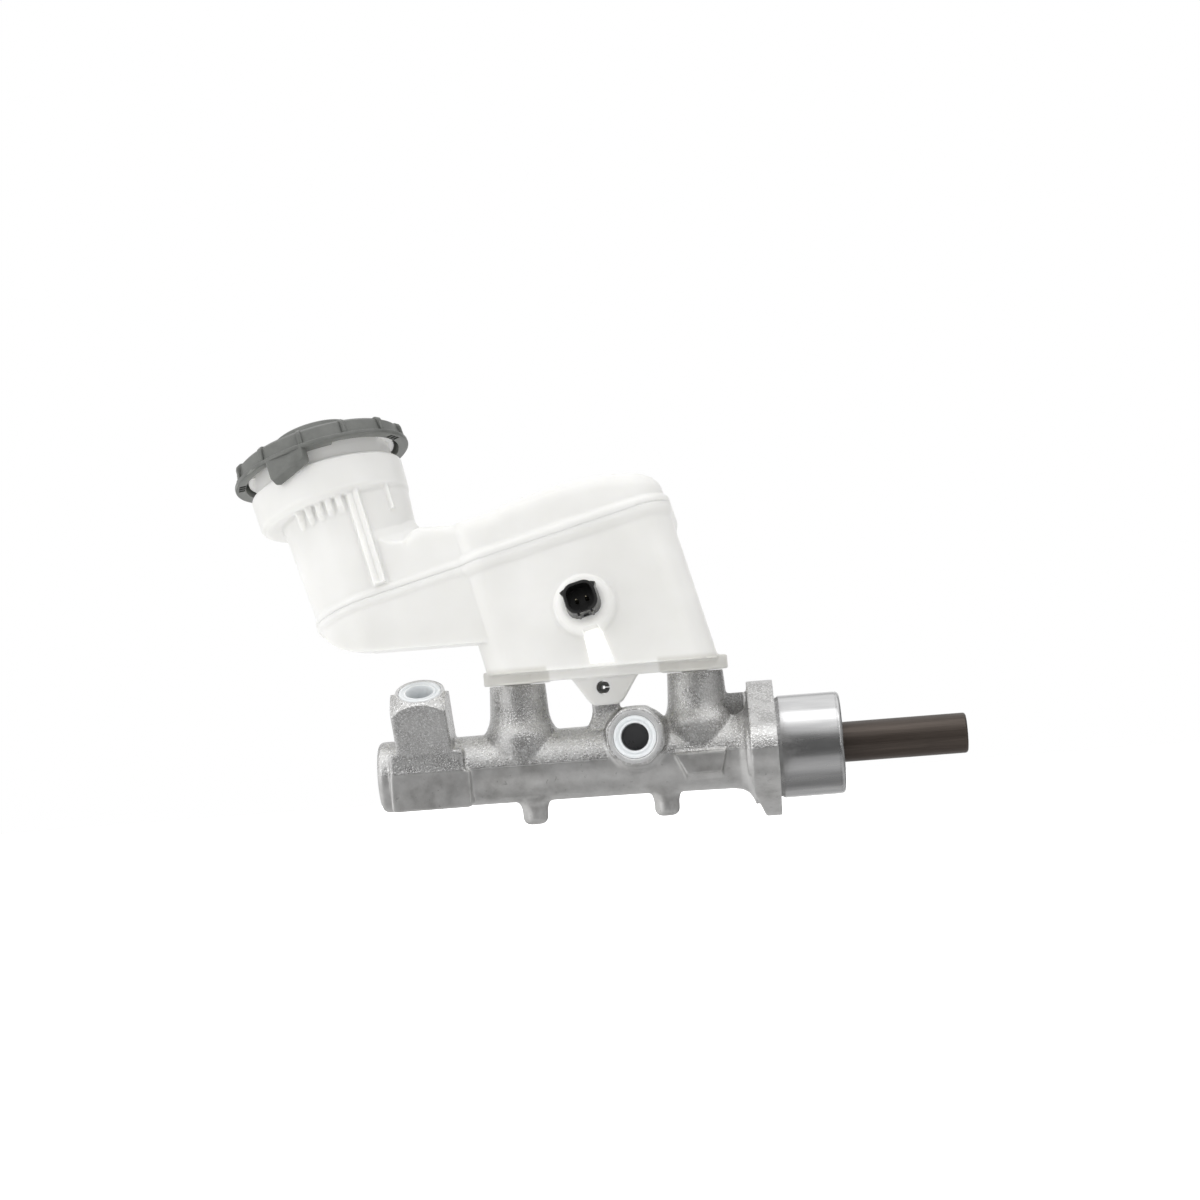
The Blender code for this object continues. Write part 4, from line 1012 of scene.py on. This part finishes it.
def lower_shell_skin():
    tank = cut(prism(tank_outline(), -95, 0.5), [below(36.6)], exact=True)
    lobe = cut(prism(lobe_outline(), -95, 0.5), [below(LOBE_FLOOR), sweep_cutter(0, 0, 90)],
               exact=True)
    # welded rim
    shapes = [tank, lobe,
              loft([(tank_outline(), -4.6), (tank_outline(1.2), -2.6),
                    (tank_outline(1.5), -1.9), (tank_outline(1.5), 0.5)]),
              loft([(lobe_outline(), -3.0), (lobe_outline(0.7), -1.9),
                    (lobe_outline(0.7), 0.5)])]
    # base rail and collars
    shapes.append(prism(round_rect(56, 127, -11.6, 11.6, 2, 4), 32.8, RAIL_TOP, FROM_WORLD))
    collar = fillet([(32.3, 0), (32.3, 13.1), (RAIL_TOP, 13.1), (RAIL_TOP, 0)], 0.5, 3)
    shapes += [lathe(collar, FROM_WORLD @ at_x(x)) for x in TURRET_X]
    # two cheeks either side of the casting's lug
    cheek = [(76.6, 35.5), (77.4, 34.0), (83.8, 24.2), (84.9, 22.8), (86.6, 21.7),
             (95.4, 21.7), (97.1, 22.8), (98.2, 24.2), (104.6, 34.0), (105.4, 35.5),
             (105.4, 36.4), (76.6, 36.4)]
    shapes += [prism(cheek, y0, y1, FROM_WORLD @ XZ) for y0, y1 in ((-8.0, -4.9), (4.9, 8.0))]
    # boss around the level switch
    shapes.append(lathe([(-34.2, 0), (-34.2, 8.4), (-33.6, 9.9), (-31.6, 11.2), (-28.4, 11.6),
                         (-24.6, 12.6), (-24.6, 0)], SWITCH_IN_SEAM))
    return melt("reservoir_lower", shapes, smoothing=4)


def lower_shell():
    ob = lower_shell_skin()
    hollow = cut(prism(tank_outline(-WALL), -95, 2), [below(39.2)], exact=True)
    lobe = cut(prism(lobe_outline(-WALL), -95, 1.5),
               [below(LOBE_FLOOR + WALL), sweep_cutter(1.6, 2.0, 91)], exact=True)
    fuse(hollow, [lobe], exact=True)
    cut(hollow, [channel(WALL, 60)], exact=True)
    # spigots into the turrets
    spigot = fillet([(24.8, 0), (24.8, 5.1), (36, 5.1), (36, 0)], 0.4, 3)
    fuse(ob, [lathe(spigot, FROM_WORLD @ at_x(x), 72) for x in TURRET_X])
    cut(ob, [hollow, channel(0.0, 61)])
    # tube that takes the level switch
    fuse(ob, [disc(-27.5, 6.0, 8.0, SWITCH_IN_SEAM, 72)])
    holes = [disc(-37, 3.8, 6.2, SWITCH_IN_SEAM, 72)]
    holes += [disc(22, 41, 3.6, FROM_WORLD @ at_x(x), 64) for x in TURRET_X]
    holes.append(disc(-12, 12, 2.6, FROM_WORLD @ frame_at(ROLL_PIN, (0, 1, 0)), 48))
    cut(ob, holes)
    place(ob)
    shade(ob, 40)
    dress(ob, "reservoir_plastic", node="reservoir_lower_shell")


def cap_lug(centre, half, inner, outer, z0, z1):
    """Sector of a ring about the cap's axis; centre and half are in degrees."""
    return prism(arc(CAP_X, 0, outer, 16, centre - half, centre + half)
                 + arc(CAP_X, 0, inner, 16, centre + half, centre - half), z0, z1)


def roofs():
    """Weld rims and roofs of the tank and the lobe: sections of (growth, z)."""
    tank_rim = ((1.5, 0.0), (1.5, 2.1), (1.2, 3.0), (0.0, 4.4))
    tank = ((0.0, 0.8), (0.0, 12.0), (-0.5, 14.2), (-1.8, 16.2), (-3.9, 17.8), (-6.8, 18.6))
    lobe_rim = ((0.7, 0.0), (0.7, 2.0), (0.0, 3.2))
    lobe = ((0.0, 0.8), (0.0, 13.0), (-0.6, 15.0), (-2.0, 16.4), (-4.4, 17.2))
    return [loft([(outline(grow), z) for grow, z in sections])
            for outline, sections in ((tank_outline, tank_rim), (tank_outline, tank),
                                      (lobe_outline, lobe_rim), (lobe_outline, lobe))]


def neck():
    """Filler neck with a generous foot on the arm, and the mouth under the cap."""
    shaft = lathe([(0.8, 0), (0.8, 23.8), (20, 24.8), (43.6, 26.1), (43.6, 0)], at_x(NECK_X))
    foot = lathe([(10, 0), (10, 31.5), (16.4, 31.5), (17.6, 29.6), (19.4, 27.9), (22.0, 26.4),
                  (25.5, 25.3), (25.5, 0)], at_x(NECK_X))
    boolean(foot, [prism(lobe_outline(0.0, -10), 5, 40)], "INTERSECT", exact=True)
    mouth = fillet([(42.6, 0), (42.6, 28.8), (44.4, 30.7), (57.4, 31.2), (57.4, 28.2),
                    (67.8, 28.0), (67.8, 0)], [0, 0.8, 0.8, 0.8, 0.5, 0, 0], 4)
    return [shaft, foot, lathe(mouth, at_x(CAP_X))]


def neck_ribs():
    """Toothed comb under the collar, a pair of long ribs and a short one."""
    shapes = []
    for i in range(5):
        x = NECK_X - 15.6 + 4.3 * i
        y = -math.sqrt(27.7 ** 2 - (x - NECK_X) ** 2)
        # half width, front edge, z
        shapes.append(loft([
            ([(x - half, y + 9), (x + half, y + 9), (x + half, front), (x - half, front)], z)
            for half, front, z in ((0.9, y + 1.6, 35.6), (1.2, y, 38.0), (1.3, y - 0.4, 43.4))]))
    # x range from the neck's axis, y range, bottom
    for x0, x1, y0, y1, z0 in ((4.9, 6.7, -27.0, -18.0, 4.0), (8.1, 9.8, -26.6, -18.0, 4.0),
                               (6.0, 9.0, -26.1, -18.0, 4.0), (19.4, 20.8, -17.6, -8.0, 33.0)):
        shapes.append(box((NECK_X + x0, y0, z0), (NECK_X + x1, y1, 43.4)))
    return shapes


# How far the roof is lifted at stations along x
ROOF_X = [-64, -58, -54, -51, -47, -43, -38, -33, -26, -20, -17,
          -13, 3, 10, 16, 20, 25, 31, 36, 40, 43, 60]
ROOF_LIFT = [0, 1.0, 4.2, 4.5, 3.6, 2.3, 0.8, 0.1, -0.1, 0.1, 1.1,
             1.3, 1.5, 1.5, 1.0, 0.4, -0.5, -2.4, -3.7, -4.7, -5.0, -5.0]


def bend_roof(ob):
    """The roof climbs at the neck, swells over the tank and falls away at the right end."""
    points = np.empty(len(ob.data.vertices) * 3)
    ob.data.vertices.foreach_get("co", points)
    points = points.reshape(-1, 3) / MM
    lift = np.interp(points[:, 0], ROOF_X, ROOF_LIFT)
    # eased in above the seam, and out again up the neck
    rise = np.clip((points[:, 2] - 1.8) / 13.0, 0, 1)
    fade = np.clip((points[:, 2] - 27.0) / 14.0, 0, 1)
    points[:, 2] += lift * rise * rise * (3 - 2 * rise) * (1 - fade * fade * (3 - 2 * fade))
    ob.data.vertices.foreach_set("co", (points * MM).ravel())
    ob.data.update()


def upper_shell():
    ob = melt("reservoir_upper", roofs() + neck() + neck_ribs(), smoothing=4)
    # shallow thread ramps on the mouth
    fuse(ob, [cap_lug(angle, 24, 27.0, 30.2, 64.6, 66.4) for angle in (0, 180)])
    hollow = loft([(tank_outline(-WALL), -1), (tank_outline(-WALL), 12.0),
                   (tank_outline(-WALL - 1.8), 14.8), (tank_outline(-8.0), 16.3)])
    lobe = loft([(lobe_outline(-WALL), -1.5), (lobe_outline(-WALL), 12.6),
                 (lobe_outline(-4.6), 14.9)])
    shaft = lathe([(-2, 0), (-2, 21.4), (45.5, 22.0), (45.5, 0)], at_x(NECK_X))
    mouth = lathe([(44.9, 0), (44.9, 24.6), (65.4, 24.6), (65.4, 26.0), (70, 26.0), (70, 0)],
                  at_x(CAP_X))
    fuse(hollow, [lobe, shaft, mouth], exact=True)
    cut(ob, [hollow])
    bend_roof(ob)
    place(ob)
    shade(ob, 40)
    dress(ob, "reservoir_plastic", node="reservoir_upper_shell")


def strainer():
    """Slotted cup in the filler's mouth."""
    ob = lathe([(45.4, 0), (45.4, 20.6), (45.6, 21.4), (46.2, 21.9), (58.0, 23.4), (58.0, 24.2),
                (59.2, 24.2), (59.2, 22.4), (47.6, 20.6), (46.8, 19.8), (46.8, 0)],
               at_x(CAP_X), name="c")
    slots = []
    for i in range(-3, 4):
        half = math.sqrt(max(1.0, 17.5 ** 2 - (5.0 * i) ** 2))
        x = CAP_X + 5.0 * i
        slots.append(box((x - 1.3, -half, 44), (x + 1.3, half, 49)))
    cut(ob, slots)
    place(ob)
    shade(ob)
    dress(ob, "nylon", node="filler_strainer")


def cap_diaphragm():
    profile = [(68.1, 27.0), (68.4, 27.2), (69.0, 27.0), (69.0, 17.6), (68.4, 17.1),
               (65.2, 16.5), (64.5, 15.8), (64.5, 12.6), (65.0, 12.0), (67.6, 11.5),
               (68.2, 10.9), (68.2, 0), (67.2, 0), (67.2, 10.2), (66.8, 10.5), (63.8, 11.1),
               (63.2, 11.8), (63.2, 16.8), (63.6, 17.4), (66.8, 18.1), (67.4, 18.6),
               (68.1, 19.4)]
    turned_part("cap_diaphragm", profile, "black_rubber", "cap_seal", SEAM @ at_x(CAP_X), 80,
                closed=True)


# ------------------------------------------------------------------ filler cap
def about_cap(degrees):
    return at_x(CAP_X) @ Matrix.Rotation(math.radians(degrees), 4, "Z")


def release_tab():
    """Tab hanging below the lip, front left; its lower edge slopes."""
    # (sideways, height from the lip)
    rear = [(-8.2, 0.9), (-8.0, -7.8), (-7.4, -9.2), (-5.6, -9.8), (7.4, -6.1), (8.6, -5.2),
            (8.9, 0.9)]
    face = [(-8.2, 0.9), (-8.1, -6.6), (-7.5, -7.7), (-6.2, -8.0), (6.6, -4.6), (7.6, -3.8),
            (8.0, 0.9)]
    tab = loft([([(y, LIP + z) for y, z in outline], out)
                for outline, out in ((rear, 31.95), (rear, 32.9), (face, 35.3))],
               about_cap(-90 - 15) @ YZ)
    mod = tab.modifiers.new("bv", "BEVEL")
    mod.width = 0.3 * MM
    mod.segments = 2
    mod.limit_method = "ANGLE"
    mod.angle_limit = math.radians(30)
    bake(tab)
    shade(tab, 50)
    return tab


def filler_cap():
    # (height from the lip, radius, rounding)
    outer = [(0, 31.9, 0), (0, 36.1, 0.55), (1.7, 36.0, 0.45), (2.1, 34.5, 0.5),
             (6.9, 33.7, 0.9), (8.2, 31.8, 0.9), (8.3, 18.4, 1.2), (14.6, 16.4, 0.8),
             (15.4, 14.8, 1.0), (15.3, 0, 0), (13.4, 0, 0), (13.4, 14.0, 0.5),
             (6.4, 15.4, 0.5), (6.4, 31.2, 0.5), (4.0, 31.9, 0.2), (3.0, 31.9, 0)]
    profile = fillet([(LIP + z, r) for z, r, _ in outer], [rounding for _, _, rounding in outer],
                     4)
    ob = lathe(profile, at_x(CAP_X), 144, True, "filler_cap")
    # slim grip fins: inner and outer radius, half width, corner radius, height from the lip
    fin = ((32.2, 35.5, 1.0, 0.5, 1.0), (32.2, 35.3, 0.95, 0.5, 6.0),
           (31.6, 34.9, 0.9, 0.45, 7.1), (30.6, 33.4, 0.7, 0.3, 8.1))
    shapes = [loft([(round_rect(r0, r1, -half, half, r, 4), LIP + z)
                    for r0, r1, half, r, z in fin], about_cap(-2 + 30 * i)) for i in range(12)]
    shapes += [cap_lug(angle, 19, 28.7, 32.3, LIP + 0.0, LIP + 1.2) for angle in (90, 270)]
    shapes.append(release_tab())
    fuse(ob, shapes)
    # pockets in the underside of the lip where the hooks pass
    cut(ob, [box((32.0, -3.6 + 2.6 * j, LIP - 0.5), (34.7, -1.7 + 2.6 * j, LIP + 1.4),
                 about_cap(angle)) for angle in (-18, -164) for j in range(3)])
    place(ob)
    shade(ob, 32)
    dress(ob, "cap_plastic", "cap", "reservoir_cap")


# ------------------------------------------------------------------ level switch
PIN_X = 2                            # terminals, either side of the switch's axis


def switch_socket():
    """Socket open to the front, with the stem that goes into the reservoir."""
    ob = loft([(centred_rect(6.0, 5.8, 4.1), -42.5), (centred_rect(6.25, 6.05, 4.25), -42.2),
               (centred_rect(6.8, 6.6, 4.6), -34.9), (centred_rect(6.5, 6.3, 4.5), -34.4)],
              SWITCH, name="level_switch_socket")
    shapes = [lathe(fillet([(-35.5, 0), (-35.5, 5.8), (-25.4, 5.8), (-25.4, 4.7), (-22.8, 4.7),
                            (-22.8, 5.8), (-8.0, 5.8), (-8.0, 0)], 0.3, 3), SWITCH, 64)]
    # small pointed ears at the two upper corners, ramped away from the mouth
    for side in (-1, 1):
        ear = [(side * x, y) for x, y in
               ((5.0, 1.9), (6.1, 1.8), (6.9, 3.3), (7.1, 3.9), (5.2, 4.7))][::side]
        low = [(side * x, y) for x, y in
               ((5.0, 2.3), (6.0, 2.3), (6.5, 3.1), (6.7, 3.5), (5.2, 4.3))][::side]
        shapes.append(loft([(ear, -42.2), (ear, -38.0), (low, -35.2)], SWITCH_UP))
    # two ribs underneath
    for x in (-2.6, 2.6):
        shapes.append(box((x - 0.4, -7.0, -41.8), (x + 0.4, -5.3, -35.2), SWITCH_UP))
    fuse(ob, shapes, exact=True)
    # mouth, notch, reed bore and terminal slots
    holes = [loft([(centred_rect(5.1, 4.9, 3.3), -43), (centred_rect(5.0, 4.8, 3.2), -34.8)],
                  SWITCH),
             box((-1.6, -5.5, -43), (1.6, -4.0, -38.0), SWITCH_UP),
             disc(-20.5, -7, 1.9, SWITCH, 32)]
    holes += [box((x - 0.7, -0.75, -35.4), (x + 0.7, 0.75, -26), SWITCH)
              for x in (-PIN_X, PIN_X)]
    cut(ob, holes, exact=True)
    # latch ramp behind the notch
    fuse(ob, [loft([([(-1.0, -6.2), (1.0, -6.2), (1.0, y), (-1.0, y)], z)
                    for y, z in ((-7.0, -37.6), (-6.7, -35.4))], SWITCH_UP)], exact=True)
    shade(ob, 30)
    dress(ob, "connector_plastic", node="sensor_connector")


def switch_insides():
    for node, x in (("terminal_pin_left", -PIN_X), ("terminal_pin_right", PIN_X)):
        sections = [(round_rect(x - half, x + half, -half, half, 0.08, 2), z)
                    for half, z in ((0.22, -39.6), (0.45, -38.7), (0.45, -26.3))]
        dress(loft(sections, SWITCH, name="v_" + node), "terminal_brass", node=node)
    turned_part("reed_switch", fillet([(-20.0, 0), (-19.4, 1.0), (-18.4, 1.5), (1.0, 1.5),
                                       (2.0, 1.0), (2.6, 0)], 0.6, 4),
                "reed_glass", at=SWITCH, steps=40)
    turned_part("sensor_o_ring", [(x - 24.1, 5.5 + y) for x, y in circle(0, 0, 0.5, 20)],
                "black_rubber", at=SWITCH, closed=True)


# ------------------------------------------------------------------ float, magnet, roll pin
def level_float():
    base = -35.8
    ends = round_rect(-12.0, 12.6, 8.1, 19.7, 2.4, 6)
    body = round_rect(-12.7, 13.3, 7.4, 20.4, 3, 6)
    ob = loft([(ends, base), (body, base + 0.8), (body, base + 9.2), (ends, base + 10)],
              name="v_level_float")
    cut(ob, [disc(7.0, 11.4, 2.7, SWITCH_IN_SEAM, 40)], exact=True)
    place(ob)
    shade(ob)
    dress(ob, "float_foam", "float", "level_float")
    turned_part("float_magnet", fillet([(7.7, 0), (7.7, 2.4), (11.1, 2.4), (11.1, 0)], 0.3, 3),
                "ferrite", "float", SWITCH, 40)


def roll_pin():
    profile = fillet([(-7.6, 0.8), (-7.6, 1.95), (-7.1, 2.3), (7.1, 2.3), (7.6, 1.95),
                      (7.6, 0.8)], 0.15, 2)
    ob = lathe(profile, frame_at(ROLL_PIN, (0, 1, 0), (1, 0, 0)), 64, True, "v_roll_pin")
    cut(ob, [box((90.8, -9, 28.45), (94, 9, 28.75))], exact=True)
    shade(ob)
    dress(ob, "dark_steel", node="reservoir_roll_pin")


# ------------------------------------------------------------------ floor, light, camera (m)
def add_floor():
    bm = bmesh.new()
    bmesh.ops.create_grid(bm, x_segments=1, y_segments=1, size=6.0)
    floor = add_object(bm, "floor")
    floor.location = (0.09, 0, -0.2)
    mat = new_material("floor")
    cloud = mat.noise(mat.coords(), scale=3, detail=2.0)
    mat.set("Base Color", mat.ramp(cloud, (0.3, 0.93), (0.7, 0.96)))
    mat.set("Roughness", 0.9)
    mat.set("Emission Color", 1)
    # pure white to the camera, a weak light to the part
    camera_ray = mat.node("ShaderNodeLightPath").outputs["Is Camera Ray"]
    mat.set("Emission Strength", mat.remap(camera_ray, span=(0.0, 1.0), to=(0.16, 1.0),
                                           smooth=False))
    floor.data.materials.append(MATERIALS["floor"])
    floor.visible_glossy = False


def add_world():
    """Dim studio: bright ceiling, bright wall on the left, white backdrop."""
    world = bpy.data.worlds.new("studio")
    bpy.context.scene.world = world
    world.use_nodes = True
    sky = Shader(world.node_tree, "Background")
    x, y, z = sky.xyz("Generated")
    left = sky.product(x, -1.0)
    level = sky.remap(z, span=(0.25, 0.80), to=(0.14, 1.15))
    level = sky.math("MAXIMUM", level, sky.remap(left, span=(0.30, 0.75), to=(0.0, 0.95)))
    down = sky.product(z, -1.0)
    ground = sky.product(sky.remap(down, span=(0.22, 0.60), to=(0.0, 0.56)),
                         sky.remap(down, span=(0.80, 1.0), to=(1.0, 0.5)))
    level = sky.math("MAXIMUM", level, ground)
    level = sky.math("MAXIMUM", level, sky.remap(x, span=(0.65, 0.95), to=(0.0, 0.35)))
    level = sky.math("MAXIMUM", level, sky.remap(y, span=(0.75, 0.95), to=(0.0, 0.90)))
    camera_ray = sky.node("ShaderNodeLightPath").outputs["Is Camera Ray"]
    sky.set("Strength", sky.math("MAXIMUM", sky.product(camera_ray, 1.0), level))
    sky.set("Color", 1)


def area_light(name, location, target_z, width, height, power, glossy=True):
    light = bpy.data.lights.new(name, "AREA")
    light.shape = "RECTANGLE"
    light.size = width
    light.size_y = height
    light.energy = power
    ob = bpy.data.objects.new(name, light)
    ob.location = location
    aim = Vector((0.09, 0, target_z)) - Vector(location)
    ob.rotation_euler = aim.to_track_quat("-Z", "Y").to_euler()
    ob.visible_camera = False
    ob.visible_glossy = glossy
    bpy.context.scene.collection.objects.link(ob)


def add_lights():
    area_light("front_fill", (-0.25, -1.5, 0.45), target_z=0.07, width=1.4, height=1.2,
               power=0.8, glossy=False)
    area_light("key_top", (0.05, -0.35, 1.0), target_z=0.05, width=2.0, height=0.5, power=3.2)
    area_light("left_soft", (-0.9, -0.7, 0.35), target_z=0.05, width=0.5, height=0.8, power=1.6)
    area_light("right_soft", (0.80, -0.84, 0.30), target_z=0.05, width=0.22, height=0.9,
               power=0.9)


def add_camera():
    """In front, slightly right and below, rolled so that the bore rises to the right."""
    swing, tilt, roll = math.radians(2.7), math.radians(-2.0), math.radians(4.49)
    target = Vector((0.0914, 0.0, 0.0629))
    distance = 1.113
    view = Vector((-math.sin(swing) * math.cos(tilt), math.cos(swing) * math.cos(tilt),
                   -math.sin(tilt)))
    right = view.cross(Vector((0, 0, 1))).normalized()
    up = right.cross(view)
    rolled_right = right * math.cos(roll) - up * math.sin(roll)
    rolled_up = right * math.sin(roll) + up * math.cos(roll)
    camera = bpy.data.cameras.new("camera")
    camera.lens = 85.0
    camera.sensor_width = 36.0
    camera.clip_start = 0.01
    camera.clip_end = 50
    ob = bpy.data.objects.new("camera", camera)
    matrix = Matrix((rolled_right, rolled_up, -view)).transposed().to_4x4()
    matrix.translation = target - view * distance
    ob.matrix_world = matrix
    scene = bpy.context.scene
    scene.collection.objects.link(ob)
    scene.camera = ob
    scene.view_settings.view_transform = "Standard"
    scene.view_settings.look = "None"


make_materials()
for build in (casting, parting_line, pilot_sleeve, port_seats,
              bore_parts, plunger_and_tail, springs, snap_ring, stop_pin_and_grommets,
              transit_plugs, lower_shell, upper_shell, strainer, cap_diaphragm, filler_cap,
              switch_socket, switch_insides, level_float, roll_pin,
              add_floor, add_world, add_lights, add_camera):
    build()
